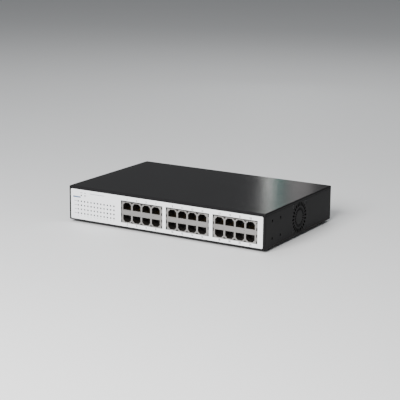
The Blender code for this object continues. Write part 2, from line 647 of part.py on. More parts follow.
def make_main_board():
    """L-shaped main board with its soldered headers and capacitors."""
    outline = [(BOARD_LEFT, BOARD_FRONT), (BOARD_RIGHT, BOARD_FRONT), (BOARD_RIGHT, BOARD_NOTCH),
               (BOARD_STEP, BOARD_NOTCH), (BOARD_STEP, BOARD_REAR), (BOARD_LEFT, BOARD_REAR)]
    main_posts, _ = board_posts()
    board = make_board("main_board", outline, main_posts)
    join(board, block("power_header", 40 * MM, FRONT + 97 * MM, SOLDERED, 14 * MM, 6 * MM, 6.4 * MM),
         block("fan_header", 94 * MM, FRONT + 80 * MM, SOLDERED, 6 * MM, 5 * MM, 6.4 * MM))
    places = ((70 * MM, FRONT + 92 * MM), (-60 * MM, FRONT + 90 * MM), (-100 * MM, FRONT + 70 * MM))
    for number, (x, y) in enumerate(places):
        join(board, disc(f"board_capacitor_{number + 1}", 4 * MM, 12.4 * MM, None,
                         (x, y, SOLDERED + 6.2 * MM), steps=10))
    return board


def make_board(name, outline, posts):
    """A circuit board with screw holes over its standoffs."""
    board = extruded(name, [outline], BOARD_THICKNESS, BOARD_GREEN, (0, 0, BOARD_Z + BOARD_THICKNESS / 2))
    cut(board, extruded(f"{name}_holes", [circle(x, y, 1.7 * MM, 8) for x, y in posts], CUT, None,
                        (0, 0, BOARD_Z)))
    return board


def make_chips():
    for number, x in enumerate(BLOCK_CENTRES):
        for half, side in enumerate((-1, 1)):
            block(f"magnetics_{2 * number + half + 1}", x + side * 14 * MM, FRONT + 35 * MM, ON_BOARD,
                  25 * MM, 12 * MM, 5.5 * MM, BLACK_PLASTIC)
        block(f"phy_chip_{number + 1}", x, FRONT + 54 * MM, ON_BOARD, 20 * MM, 16 * MM, 1.6 * MM,
              BLACK_PLASTIC)
    chip_x, chip_y, chip_height = -16 * MM, FRONT + 83 * MM, 2 * MM
    block("switch_chip", chip_x, chip_y, ON_BOARD, 27 * MM, 27 * MM, chip_height, BLACK_PLASTIC)
    extruded("heat_sink", [finned(38 * MM, 8, 14 * MM, 3 * MM)], 38 * MM, ALUMINIUM,
             (chip_x, chip_y, ON_BOARD + chip_height + GAP), FACING_FRONT)


def finned(width, fins, height, base):
    """The end view of a finned heat sink standing on its base, fins as wide as the gaps between them."""
    outline = [(-width / 2, 0), (width / 2, 0)]
    step = width / (2 * fins - 1)
    for fin in range(fins):
        right = width / 2 - 2 * step * fin
        outline += [(right, height), (right - step, height)]
        if fin < fins - 1:
            outline += [(right - step, base), (right - 2 * step, base)]
    return outline


def make_power_supply():
    """Open-frame mains supply on its own board, over an insulating film."""
    _, posts = board_posts()
    middle_x, middle_y = (POWER_LEFT + POWER_RIGHT) / 2, (POWER_FRONT + POWER_REAR) / 2
    width, depth = POWER_RIGHT - POWER_LEFT, POWER_REAR - POWER_FRONT
    board = make_board("power_board", rectangle(middle_x, middle_y, width, depth), posts)
    soldered = (("mains_header", 72 * MM, FRONT + 140 * MM, 8 * MM, 12 * MM, 9.4 * MM),
                ("output_header", 40 * MM, FRONT + 114.5 * MM, 14 * MM, 6 * MM, 6.4 * MM),
                ("filter_capacitor", 60 * MM, FRONT + 157 * MM, 8 * MM, 18 * MM, 14.4 * MM),
                ("fuse_holder", 56 * MM, FRONT + 137 * MM, 6 * MM, 20 * MM, 7.4 * MM),
                ("filter_choke", 38 * MM, FRONT + 156 * MM, 20 * MM, 18 * MM, 16.4 * MM))
    for name, x, y, across, along, tall in soldered:
        join(board, block(name, x, y, SOLDERED, across, along, tall))
    film = rounded(middle_x, middle_y, width + 6 * MM, depth + 4 * MM, 3 * MM, 2)
    extruded("insulation_sheet", [film] + [circle(x, y, STANDOFF_RADIUS + 0.7 * MM, 8) for x, y in posts],
             0.3 * MM, MYLAR, (0, 0, FLOOR + GAP + 0.15 * MM))
    core_x, core_y = 6 * MM, FRONT + 138 * MM
    core = block("power_transformer", core_x, core_y, ON_BOARD + 2 * MM, 28 * MM, 12 * MM, 23 * MM,
                 TRANSFORMER)
    join(core, disc("winding", 10.5 * MM, 15 * MM, None, (core_x, core_y, ON_BOARD + 13.5 * MM), steps=20),
         block("bobbin_foot", core_x, core_y, ON_BOARD, 24 * MM, 26 * MM, 4 * MM))
    turned("bulk_capacitor", [(0, 30 * MM), (8 * MM, 30 * MM), (9 * MM, 29 * MM), (9 * MM, 0), (0, 0)],
           CAPACITOR, (18 * MM, FRONT + 161 * MM, ON_BOARD), steps=20)
    extruded("power_heat_sink", [finned(44 * MM, 6, 9 * MM, 2 * MM)], 24 * MM, ALUMINIUM,
             (-24 * MM, FRONT + 141 * MM, ON_BOARD + 12 * MM), (0, 0, math.radians(90)))


def make_inlet():
    """Mains inlet for a detachable lead, with three blades, held by two screws."""
    half_w, half_h = INLET_BODY[0] / 2, INLET_BODY[1] / 2
    outer, inner = REAR + REAR_PROUD, REAR - INLET_DEPTH
    body = box("ac_inlet", (INLET_X - half_w, inner, INLET_Z - half_h),
               (INLET_X + half_w, REAR + GAP + 1 * MM, INLET_Z + half_h), BLACK_PLASTIC)
    thickness = REAR_PROUD - GAP
    flange = rounded(INLET_X, INLET_Z, *INLET_FLANGE, 4 * MM, 3)
    join(body, extruded("inlet_flange", [flange], thickness, None, (0, outer - thickness / 2, 0),
                        FACING_FRONT))
    mouth_w, mouth_h = INLET_CAVITY[0] / 2, INLET_CAVITY[1] / 2
    corner = 5 * MM
    mouth = [(-mouth_w, -mouth_h), (mouth_w, -mouth_h), (mouth_w, mouth_h - corner),
             (mouth_w - corner, mouth_h), (corner - mouth_w, mouth_h), (-mouth_w, mouth_h - corner)]
    cavity = [(INLET_X + x, INLET_Z + z) for x, z in mouth]
    screw_places = [INLET_X - INLET_SCREW_OFFSET, INLET_X + INLET_SCREW_OFFSET]
    screw_holes = [circle(x, INLET_Z, 3.1 * MM, 10) for x in screw_places]
    pins = (("line", 7 * MM, -2 * MM), ("neutral", -7 * MM, -2 * MM), ("earth", 0, 2 * MM))
    slots = [rectangle(INLET_X + x, INLET_Z + z, 2.6 * MM, 4.6 * MM) for _, x, z in pins]
    cut(body,
        extruded("inlet_cavity", [cavity], INLET_CAVITY_DEPTH + CUT, None,
                 (0, outer + (CUT - INLET_CAVITY_DEPTH) / 2, 0), FACING_FRONT),
        extruded("inlet_screw_holes", screw_holes, 3 * CUT, None, (0, REAR, 0), FACING_FRONT),
        extruded("inlet_pin_slots", slots, 4 * CUT, None, (0, inner, 0), FACING_FRONT))
    for name, x, z in pins:
        box(f"inlet_pin_{name}", (INLET_X + x - 1 * MM, inner - PIN_TAIL, INLET_Z + z - 2 * MM),
            (INLET_X + x + 1 * MM, outer - 3 * MM, INLET_Z + z + 2 * MM), STEEL)
    for number, x in enumerate(screw_places):
        screw(f"inlet_screw_{number + 1}", (x, REAR + GAP, INLET_Z), FACING_REAR,
              2.7 * MM, 1.6 * MM, 1.5 * MM, 7 * MM, BLACK_SCREW)


def make_fasteners():
    for number, x in enumerate(LID_SCREW_X):
        screw(f"lid_screw_{number + 1}", (x, REAR + GAP, LID_SCREW_Z), FACING_REAR,
              2.9 * MM, 1.9 * MM, 1.5 * MM, 5 * MM, BLACK_SCREW)
    screw("ground_screw", (GROUND_X, REAR + GAP, GROUND_Z), FACING_REAR,
          3.6 * MM, 2.4 * MM, 1.8 * MM, 6 * MM, STEEL)
    inset_x, inset_y = SIDE - 18 * MM, 18 * MM
    for number, (x, y) in enumerate(((-inset_x, FRONT + inset_y), (inset_x, FRONT + inset_y),
                                     (-inset_x, REAR - inset_y), (inset_x, REAR - inset_y))):
        turned(f"rubber_foot_{number + 1}", [(0, BASE - GAP), (7 * MM, BASE - GAP), (7 * MM, 1.2 * MM),
                                             (6 * MM, 0), (0, 0)], RUBBER, (x, y, 0), steps=20)
    box("rating_label", (-30 * MM, -20 * MM, BASE - GAP - 0.2 * MM), (30 * MM, 20 * MM, BASE - GAP), LABEL)


def make_leads():
    """The three internal leads, each between two connectors."""
    header_top = SOLDERED + 6.4 * MM
    plug = header_top + 0.6 * MM
    fan_y, fan_x = FRONT + 80 * MM, 94 * MM
    lead("fan_lead", ((FAN_IN - 0.6 * MM, FAN_Y - 12 * MM, FAN_Z + 8 * MM),
                      (FAN_IN - 8 * MM, FAN_Y - 12 * MM, FAN_Z + 6 * MM),
                      (fan_x + 6 * MM, fan_y - 1 * MM, FAN_Z + 2 * MM),
                      (fan_x, fan_y, plug + 1.9 * MM), (fan_x, fan_y, plug)), 1.2 * MM, WIRE)
    power_x, output_y, input_y = 40 * MM, FRONT + 114.5 * MM, FRONT + 97 * MM
    lead("dc_lead", ((power_x, output_y, plug), (power_x, output_y - 1 * MM, plug + 4.4 * MM),
                     (power_x, (output_y + input_y) / 2, plug + 8.4 * MM),
                     (power_x, input_y + 1 * MM, plug + 4.4 * MM), (power_x, input_y, plug)), 2.6 * MM, WIRE)
    blades = REAR - INLET_DEPTH - PIN_TAIL
    mains_x, mains_y, mains_top = 72 * MM, FRONT + 140 * MM, SOLDERED + 9.4 * MM
    lead("mains_lead", ((INLET_X, blades - 1.2 * MM, INLET_Z), (INLET_X - 2 * MM, blades - 8 * MM, INLET_Z),
                        (mains_x + 18 * MM, mains_y + 2 * MM, INLET_Z - 1 * MM),
                        (mains_x + 8 * MM, mains_y, mains_top + 5 * MM),
                        (mains_x, mains_y, mains_top + 3.6 * MM)), 2.4 * MM, WIRE)


make_base_tray()
make_lid()
make_front_plate()
make_front_overlay()
for block_number, block_x in enumerate(BLOCK_CENTRES, start=1):
    make_port_shield(block_number, block_x)
    make_port_housing(block_number, block_x)
    make_port_contacts(block_number, block_x)
make_light_guide()
make_fan()
make_main_board()
make_chips()
make_power_supply()
make_inlet()
make_fasteners()
make_leads()
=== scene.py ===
"""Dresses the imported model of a 24-port network switch and sets up its camera and studio."""

import json
import math

import bmesh
import bpy
from mathutils import Matrix, Vector


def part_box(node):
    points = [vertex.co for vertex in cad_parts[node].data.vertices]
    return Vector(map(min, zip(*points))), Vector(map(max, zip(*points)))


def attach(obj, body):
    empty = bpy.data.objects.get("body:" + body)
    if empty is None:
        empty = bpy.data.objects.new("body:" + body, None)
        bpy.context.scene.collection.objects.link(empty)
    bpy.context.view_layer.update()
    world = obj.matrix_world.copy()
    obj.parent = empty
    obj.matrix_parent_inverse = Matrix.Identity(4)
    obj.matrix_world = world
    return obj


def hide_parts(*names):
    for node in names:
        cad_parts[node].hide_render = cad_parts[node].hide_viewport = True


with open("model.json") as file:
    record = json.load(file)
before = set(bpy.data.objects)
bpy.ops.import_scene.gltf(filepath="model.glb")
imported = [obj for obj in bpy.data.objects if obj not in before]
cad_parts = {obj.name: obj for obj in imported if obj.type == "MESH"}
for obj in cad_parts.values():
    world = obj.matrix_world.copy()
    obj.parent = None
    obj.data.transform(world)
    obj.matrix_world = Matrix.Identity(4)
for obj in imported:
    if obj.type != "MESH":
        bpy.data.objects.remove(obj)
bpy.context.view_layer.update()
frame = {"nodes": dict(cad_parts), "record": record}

MM = 0.001
TINY, WELD = 1e-7, 2e-6  # lengths in metres that count as nothing, and as the same point

# Places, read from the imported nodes.
tray_low, tray_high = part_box("base_tray")
lid_low, lid_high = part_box("lid")
film_low, film_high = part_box("front_overlay")
plate_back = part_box("front_plate")[1].y
fan_low, fan_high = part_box("fan_frame")
hub_low, hub_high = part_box("fan_rotor")
inlet_low, inlet_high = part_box("ac_inlet")
label_low, label_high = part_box("rating_label")
shield_boxes = [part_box(f"port_shield_{n}") for n in (1, 2, 3)]
SIDE, FRONT, REAR, BASE = tray_high.x, tray_low.y, tray_high.y, tray_low.z
SEAM, TOP = tray_high.z, lid_high.z
FAN_Y, FAN_Z = (fan_low.y + fan_high.y) / 2, (fan_low.z + fan_high.z) / 2
INLET_X, INLET_Z = (inlet_low.x + inlet_high.x) / 2, (inlet_low.z + inlet_high.z) / 2
MID_Z = (shield_boxes[0][0].z + shield_boxes[0][1].z) / 2

# Sheet metal and printing.
SHEET = 1.0 * MM
BEND = 1.5 * MM
BEND_STEPS = 4
LID_LIP = 3.0 * MM
GAP = 0.3 * MM
OVERLAP = 0.1 * MM  # how far two shapes of one piece run into each other
BREAK_EDGE = 0.12 * MM  # the small rounding of a cut edge
BLOCK_EDGE = 0.3 * MM
SHARP_EDGE = math.radians(34)  # a bend sharper than this is shaded as an edge
FOLD_EDGE = 0.2 * MM  # the rounding of a small folded tab
FILM_GAP = 0.1 * MM
FILM_CORNER, FILM_EDGE = 1.6 * MM, 0.05 * MM
PLATE_MARGIN = 0.2 * MM  # the steel front stops this far inside the film's outline
INK = 0.03 * MM  # thickness of a printed mark
INK_PROUD = 0.02 * MM
INK_EDGE = 0.005 * MM

# Sockets. Half-outlines and paths are in millimetres. A half-outline is measured from the middle and from
# the bar between the rows, a contact's path back from the panel and away from the bar, and a finger's path
# out of the shield and back from the panel.
PORT_PITCH = 13.97 * MM
PORT_COLUMNS = 4
PORT_DEPTH = 14 * MM
MID_BAR = 6.4 * MM
MOUTH_SIDE = ((5.85, 0), (5.85, 6.2), (3.5, 8.5), (3.2, 9.1))
SPRING_SIDE = ((0.55, 7.9), (1.9, 9.3), (1.9, 9.9))
CUTOUT = (60.6 * MM, 28.0 * MM)
CUTOUT_RISE = 0.4 * MM  # centre of the cut-out above the centre of the sockets
SHIELD_SHEET, SHIELD_BEND = 0.4 * MM, 0.3 * MM
HOUSING_INSET, HOUSING_EDGE = 0.2 * MM, 0.15 * MM
CONTACTS = 8
CONTACT_PITCH = 1.02 * MM
CONTACT_RADIUS = 0.19 * MM
CONTACT_PATH = ((3.9, -0.2), (4.8, 0.15), (11.6, 1.45), (12.1, 1.6), (12.5, 1.35), (13.4, -0.2))
FINGER_PATH = ((-0.1, 0.4), (0.5, 0.35), (1.0, 0.55), (1.3, 1.1), (1.3, 1.9), (1.0, 3.0), (0.4, 4.6),
               (-0.1, 5.6))
FINGER_RISES = (-8 * MM, 0, 8 * MM)
FINGER_WIDTH, FINGER_SHEET = 4.4 * MM, 0.18 * MM
NUMERAL_SIZE, NUMERAL_BOLD, NUMERAL_GAP = 3.2 * MM, 0.08 * MM, 1.9 * MM

# Status lights, and the plain bars that stand for the panel's legends.
LIGHT_COLUMNS, LIGHT_ROWS = 12, 4
LIGHT_PITCH_X, LIGHT_PITCH_Z = 4.94 * MM, 5.2 * MM
LIGHT_FIRST_X, LIGHT_FIRST_Z = -SIDE + 14.0 * MM, BASE + 9.8 * MM
LIGHT_SLOT = 2.8 * MM
LIGHT_WINDOW, LIGHT_CORNER = 2.0 * MM, 0.5 * MM
COLUMN_MARK, COLUMN_MARK_DROP = (1.6 * MM, 0.35 * MM), 3.1 * MM
ROW_MARK, ROW_MARK_ASIDE = (3.6 * MM, 0.5 * MM), 4.0 * MM
ROUND_LIGHTS = (-SIDE + 18.9 * MM, -SIDE + 24.5 * MM)
ROUND_LIGHT_Z, ROUND_LIGHT = BASE + 33.0 * MM, 1.0 * MM
ROUND_LIGHT_MARKS = (3.6 * MM, 2.6 * MM)
TOP_MARK_Z, TOP_MARK = BASE + 36.4 * MM, 0.5 * MM
NAME_BAR, NAME_BAR_CORNER = (-SIDE + 12.0 * MM, BASE + 30.6 * MM, 11.6 * MM, 1.8 * MM), 0.4 * MM
TITLE_BAR = (-SIDE + 43 * MM, TOP_MARK_Z, 22 * MM, TOP_MARK)

# Holes in the walls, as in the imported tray.
EAR_HOLE = 1.7 * MM
EAR_Y = (FRONT + 18.4 * MM, FRONT + 39.2 * MM)
EAR_Z = (BASE + 10.9 * MM, BASE + 32.3 * MM)
GRILLE_RAYS = 24  # slots in each ring; a ring is its inner radius, outer radius and slot width
GRILLE_RINGS = ((8.6 * MM, 12.4 * MM, 1.5 * MM), (14.0 * MM, 19.0 * MM, 2.5 * MM))
GRILLE_EDGE = 20 * MM
FAN_SCREW_OFFSET, FAN_SCREW_HOLE = 16 * MM, 3.0 * MM
VENT_SLOT = (2.6 * MM, 24 * MM)
VENT_PITCH = 6.2 * MM
LEFT_VENTS, LEFT_VENT_Y, LEFT_VENT_Z = 14, FRONT + 66 * MM, BASE + 22 * MM
REAR_VENTS, REAR_VENT_X, REAR_VENT_Z = 9, -112 * MM, BASE + 18 * MM
REAR_SCREW_HOLE = 2.0 * MM

# Bosses behind the ear holes, board posts, and the lid's screw tabs and front hooks.
BOSS_RADIUS, BOSS_DEPTH, BOSS_CHAMFER = 3.0 * MM, 1.5 * MM, 0.2 * MM
GROOVES, GROOVE_PITCH, GROOVE_DEPTH = 8, 0.2 * MM, 0.18 * MM
POST_RADIUS, POST_HEIGHT = 2.75 * MM, 3.7 * MM
POST_BORE, POST_BORE_DEPTH = 1.3 * MM, 3 * MM
POSTS = ([(x * MM, FRONT + y * MM) for x in (-128, 1.7, 106) for y in (50, 98)]
         + [(x * MM, FRONT + y * MM) for x in (-24, 72) for y in (116, 166)])
TAB_WIDTH, TAB_CORNER, TAB_HOLE = 14 * MM, 2 * MM, 1.9 * MM
TAB_BELOW_HOLE, TAB_BELOW_TOP = 5 * MM, 0.6 * MM
HOOKS = (-70 * MM, 1.7 * MM, 67 * MM)
HOOK_WIDTH, HOOK_BEHIND_FRONT = 14 * MM, 2.2 * MM
HOOK_LIFT, HOOK_BELOW_TOP = 0.8 * MM, 0.4 * MM

# Fan.
FAN_BORE, FAN_CORNER, FAN_EDGE = 19.0 * MM, 3 * MM, 0.4 * MM
FAN_THROUGH_HOLE = 2.0 * MM
MOTOR_PLATE, MOTOR_HOLE = 2.4 * MM, 2.6 * MM
STRUTS, STRUT_START, STRUT_OVERRUN = 3, 10.5 * MM, 0.5 * MM
STRUT_DEPTH, STRUT_WIDTH, STRUT_PLACE = 2.2 * MM, 3.0 * MM, 1.2 * MM
HUB_RADIUS, HUB_SHELL, HUB_FACE = 11.0 * MM, 1 * MM, 1.4 * MM
HUB_ROUND = ((1.2, 0), (0.5, 0.15), (0.1, 0.5), (0, 1.1))  # in from its wall, back from its face
BLADES = 7
BLADE_ROOT, BLADE_TIP, BLADE_SHEET = 10.6 * MM, 18.2 * MM, 0.9 * MM
BLADE_PITCH, BLADE_TWIST, BLADE_SWEEP = 46, 14, 10  # degrees
BLADE_CLEARANCE, BLADE_TIP_TAPER, BLADE_BOW = 3.4 * MM, 0.08, 0.10

# Screws. Sizes are head radius, head height, shank radius and shank length in millimetres.
FAN_SCREWS = ("fan_screw_1", "fan_screw_2", "fan_screw_3", "fan_screw_4")
LID_SCREWS = ("lid_screw_1", "lid_screw_2", "lid_screw_3")
REAR_SCREWS = LID_SCREWS + ("inlet_screw_1", "inlet_screw_2", "ground_screw")
SCREW_SIZES = {"fan": (2.6, 0.8, 1.5, 9.0), "lid": (2.9, 1.9, 1.5, 5.0), "inlet": (2.7, 1.6, 1.5, 7.0),
               "ground": (3.6, 2.4, 1.8, 6.0)}
HEAD_CHAMFER, HEAD_FLANK = 0.1 * MM, 0.25 * MM
DOME_STEPS, DOME_END, DOME_RIM = 6, 18, 0.3  # steps, last angle, share that is a rim
SCREW_PITCH, SCREW_GROOVE = 0.25 * MM, 0.2 * MM
SCREW_POINT = 0.6  # share of the shank's radius
RECESS_ARM, RECESS_WIDTH, RECESS_TIP = 0.62, 0.17, 0.13  # shares of the head's radius

# Mains inlet.
INLET_BODY = (27.4 * MM, 19.6 * MM)
INLET_BODY_CORNER, INLET_BODY_EDGE = 1.5 * MM, 0.1 * MM
INLET_FLANGE = (49 * MM, 23 * MM)
INLET_FLANGE_CORNER, INLET_FLANGE_EDGE = 4 * MM, 0.35 * MM
INLET_WALL = 13 * MM  # how deep the inlet's mouth reaches behind the rear wall
INLET_LAP = 0.5 * MM
INLET_MOUTH = (24.0 * MM, 15.6 * MM)
INLET_CHAMFER = 5 * MM
INLET_SCREW_OFFSET, INLET_SCREW_HOLE = 20 * MM, 3.1 * MM
INLET_PIN_EDGE = 0.35 * MM

# Feet, label and earth sign.
FOOT_CHAMFER, FOOT_ROUND = 0.2 * MM, 1.1 * MM
FOOT_DIMPLE = ((3.2, 0), (2.9, 0.3), (2.8, 1.2), (0, 1.2))  # radius, height in millimetres
LABEL_CORNER, LABEL_EDGE = 2 * MM, 0.04 * MM
LABEL_RULE, LABEL_RULE_Y = (50 * MM, 0.4 * MM), 15 * MM
LABEL_LINES, LABEL_LINE_X, LABEL_LINE_Y, LABEL_LINE_PITCH = 6, -10 * MM, 11 * MM, 4 * MM
LABEL_LINE_LENGTHS, LABEL_LINE = (30 * MM, 25 * MM, 20 * MM), 1.0 * MM
LABEL_SQUARE_AT, LABEL_SQUARE_SIDES = (18 * MM, -4 * MM), (12 * MM, 10 * MM)
# The earth sign's bars: rise, width and height in millimetres.
EARTH_BARS = ((2.2, 0.45, 2.8), (0.8, 4.2, 0.45), (-0.2, 2.8, 0.45), (-1.2, 1.4, 0.45))
EARTH_SIGN_ASIDE = 8 * MM

# Surfaces.
PATCH_DETAIL, GRAIN_DETAIL = 6, 3
PATCH_RANGE = (0.2, 0.8)  # the part of the noise that goes from the first colour to the second
GRAIN_HEIGHT = 0.1 * MM

# Camera.
CAMERA_PLACE = Vector((0.804, FRONT - 1.277, 0.407))
CAMERA_YAW, CAMERA_PITCH, CAMERA_ROLL = math.radians(30.49), math.radians(-13.45), math.radians(0.57)
CAMERA_LENS, SENSOR = 115.5, 36.0
CAMERA_CLIP = (0.05, 20)

# Studio. Each light: name, place, target, width, height, power, colour.
FLOOR_REACH = 6
WORLD_COLOUR, WORLD_STRENGTH = (0.84, 0.86, 0.88, 1), 0.25
LIGHTS = (
    ("ceiling", (-0.4, 0, 2.2), (-0.4, 0, 0), 2.2, 2.4, 14, (1, 1, 1)),
    ("key", (0.08, -1.25, 0.80), (0.04, FRONT, 0.02), 0.9, 0.7, 46, (1.0, 0.985, 0.965)),
    ("fill", (-0.9, -0.7, 0.6), (-0.10, FRONT, 0.02), 0.6, 0.5, 1.2, (0.62, 0.80, 1.0)),
    ("rear", (-0.4, 1.3, 1.2), (0, 0, 0.03), 0.8, 0.6, 5, (1, 1, 1)),
)

# Soft strips of light that the lid mirrors near its right-hand end: place, width, power and colour.
REFLECTION_Y, REFLECTION_DISTANCE, REFLECTION_LENGTH = -0.009, 1.3, 0.30
REFLECTIONS = ((0.101, 0.016, 0.085, (1.0, 1.0, 0.97)), (0.114, 0.022, 0.020, (0.20, 0.95, 0.80)),
               (0.142, 0.056, 0.062, (1.0, 0.95, 0.95)))

# Ways a flat piece can face: where its own x, y and z axes point.
FACING = {
    "front": ((1, 0, 0), (0, 0, 1), (0, -1, 0)),
    "right": ((0, 1, 0), (0, 0, 1), (1, 0, 0)),
    "up": ((1, 0, 0), (0, 1, 0), (0, 0, 1)),
    "rear": ((-1, 0, 0), (0, 0, 1), (0, 1, 0)),
    "down": ((1, 0, 0), (0, -1, 0), (0, 0, -1)),
}


def centre(node):
    low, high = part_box(node)
    return (low + high) / 2


# ---------------- outlines

def rectangle(x, y, width, height):
    left, right, low, high = x - width / 2, x + width / 2, y - height / 2, y + height / 2
    return [(left, low), (right, low), (right, high), (left, high)]


def rounded(x, y, width, height, radius, steps=6):
    """A rectangle with rounded corners; a radius of half its width makes a slot."""
    outline = []
    for across, up, start in ((1, 1, 0), (-1, 1, 90), (-1, -1, 180), (1, -1, 270)):
        centre_x, centre_y = x + across * (width / 2 - radius), y + up * (height / 2 - radius)
        for step in range(steps + 1):
            angle = math.radians(start + 90 * step / steps)
            outline.append((centre_x + radius * math.cos(angle), centre_y + radius * math.sin(angle)))
    return without_repeats(outline)


def without_repeats(outline):
    """An outline without the points that lie on the one before them."""
    kept = []
    for point in outline:
        if not kept or math.dist(point, kept[-1]) > WELD:
            kept.append(point)
    if math.dist(kept[0], kept[-1]) <= WELD:
        kept.pop()
    return kept


def circle(x, y, radius, steps=24):
    turn = 2 * math.pi / steps
    return [(x + radius * math.cos(turn * i), y + radius * math.sin(turn * i)) for i in range(steps)]


def radial_slot(x, y, angle, inner, outer, width, steps=4):
    """A round-ended slot that points away from x, y."""
    along, across = (math.cos(angle), math.sin(angle)), (-math.sin(angle), math.cos(angle))
    half, outline = width / 2, []
    for middle, start in ((outer - half, -90), (inner + half, 90)):
        for step in range(2 * steps + 1):
            bow = math.radians(start + 180 * step / (2 * steps))
            reach, aside = middle + half * math.cos(bow), half * math.sin(bow)
            outline.append((x + along[0] * reach + across[0] * aside,
                            y + along[1] * reach + across[1] * aside))
    return outline


def symmetric(x, z, up, side):
    """An outline from its right half, mirrored about x and measured from z. up is 1 or -1."""
    right = [(x + across * MM, z + up * rise * MM) for across, rise in side]
    left = [(x - across * MM, z + up * rise * MM) for across, rise in reversed(side)]
    return right + left


def area(outline):
    """The area inside an outline, which is negative where it runs clockwise."""
    following = outline[1:] + outline[:1]
    return sum(a[0] * b[1] - b[0] * a[1] for a, b in zip(outline, following)) / 2


# ---------------- meshes

def facing(way, place):
    """The matrix that turns a piece drawn flat to face one way, at a place."""
    turn = Matrix([list(axis) for axis in FACING[way]]).transposed().to_4x4()
    return Matrix.Translation(Vector(place)) @ turn


def add_object(name, data):
    obj = bpy.data.objects.new(name, data)
    bpy.context.scene.collection.objects.link(obj)
    return obj


def mesh_of(data):
    """The mesh that a curve or text gives."""
    holder = add_object("holder", data)
    graph = bpy.context.evaluated_depsgraph_get()
    mesh = bpy.data.meshes.new_from_object(holder.evaluated_get(graph))
    bpy.data.objects.remove(holder)
    return mesh


def flat_mesh(outlines, thickness=0.0, edge=0.0, bends=1):
    """A flat sheet in local XY with holes, centred on its thickness, its edges rounded by edge."""
    curve = bpy.data.curves.new("sheet", "CURVE")
    curve.dimensions = "2D"
    curve.fill_mode = "BOTH"
    curve.extrude = thickness / 2 - edge
    curve.bevel_depth = edge
    curve.bevel_resolution = bends
    curve.offset = -edge
    for number, outline in enumerate(outlines):
        outer = number == 0
        points = outline if (area(outline) > 0) != outer else outline[::-1]
        spline = curve.splines.new("POLY")
        spline.points.add(len(points) - 1)
        for point, (x, y) in zip(spline.points, points):
            point.co = (x, y, 0, 1)
        spline.use_cyclic_u = True
    mesh = mesh_of(curve)
    weld(mesh)
    return mesh


def weld(mesh, distance=WELD):
    """Joins points that lie together, and turns every face outwards."""
    shape = bmesh.new()
    shape.from_mesh(mesh)
    bmesh.ops.remove_doubles(shape, verts=shape.verts, dist=distance)
    bmesh.ops.dissolve_degenerate(shape, edges=shape.edges, dist=TINY)
    bmesh.ops.recalc_face_normals(shape, faces=shape.faces)
    shape.to_mesh(mesh)
    shape.free()


def plate(outlines, thickness, way, place, edge=BREAK_EDGE, bends=1):
    """A flat piece with rounded edges that faces one way, the middle of its thickness at place."""
    mesh = flat_mesh(outlines, thickness, edge, bends)
    mesh.transform(facing(way, place))
    return mesh


def block(low, high, edge=BLOCK_EDGE, steps=2):
    """A box with rounded edges between two corners."""
    shape = bmesh.new()
    bmesh.ops.create_cube(shape, size=1)
    bmesh.ops.scale(shape, vec=[b - a for a, b in zip(low, high)], verts=shape.verts)
    bmesh.ops.translate(shape, vec=[(a + b) / 2 for a, b in zip(low, high)], verts=shape.verts)
    bmesh.ops.bevel(shape, geom=shape.edges[:], offset=edge, segments=steps, affect="EDGES", profile=0.5)
    mesh = bpy.data.meshes.new("block")
    shape.to_mesh(mesh)
    shape.free()
    return mesh


def turned(profile, way="up", place=(0, 0, 0), steps=32):
    """A turned piece about its local z. The profile of (radius, height) runs from top to bottom."""
    shape = bmesh.new()
    rings = []
    for radius, height in profile:
        if radius < TINY:
            rings.append([shape.verts.new((0, 0, height))])
            continue
        rings.append([shape.verts.new((radius * math.cos(2 * math.pi * i / steps),
                                       radius * math.sin(2 * math.pi * i / steps), height))
                      for i in range(steps)])
    pairs = list(zip(rings, rings[1:]))
    if len(rings[0]) > 1 and len(rings[-1]) > 1:
        pairs.append((rings[-1], rings[0]))
    for upper, lower in pairs:
        for i in range(steps):
            j = (i + 1) % steps
            corners = [upper[i % len(upper)], lower[i % len(lower)],
                       lower[j % len(lower)], upper[j % len(upper)]]
            corners = [v for k, v in enumerate(corners) if v not in corners[:k]]
            if len(corners) > 2:
                shape.faces.new(corners)
    bmesh.ops.recalc_face_normals(shape, faces=shape.faces)
    mesh = bpy.data.meshes.new("turned")
    shape.to_mesh(mesh)
    shape.free()
    mesh.transform(facing(way, place))
    return mesh


def wires(paths, radius):
    """Round wires along paths of points."""
    curve = bpy.data.curves.new("wires", "CURVE")
    curve.dimensions = "3D"
    curve.bevel_depth = radius
    curve.bevel_resolution = 1
    curve.use_fill_caps = True
    for path in paths:
        spline = curve.splines.new("POLY")
        spline.points.add(len(path) - 1)
        for point, place in zip(spline.points, path):
            point.co = (*place, 1)
    mesh = mesh_of(curve)
    weld(mesh)
    return mesh


def bend_strip(shape, start, end, first, second, radius):
    """A quarter-round bend from start to end, turning from direction first to direction second."""
    rows = []
    for step in range(BEND_STEPS + 1):
        angle = math.radians(90 * step / BEND_STEPS)
        reach = (Vector(first) * math.cos(angle) + Vector(second) * math.sin(angle)) * radius
        rows.append([shape.verts.new(Vector(place) + reach) for place in (start, end)])
    for near, far in zip(rows, rows[1:]):
        shape.faces.new((near[0], near[1], far[1], far[0]))


def bend_corner(shape, place, across, along, upright, radius):
    """The eighth of a ball where three bends meet."""
    rows = []
    for rise in range(BEND_STEPS + 1):
        lift = math.radians(90 * rise / BEND_STEPS)
        row = []
        for step in range(BEND_STEPS + 1):
            angle = math.radians(90 * step / BEND_STEPS)
            flat = Vector(across) * math.cos(angle) + Vector(along) * math.sin(angle)
            reach = (flat * math.cos(lift) + Vector(upright) * math.sin(lift)) * radius
            row.append(shape.verts.new(Vector(place) + reach))
        rows.append(row)
    for low, high in zip(rows, rows[1:]):
        for i in range(BEND_STEPS):
            shape.faces.new((low[i], low[i + 1], high[i + 1], high[i]))


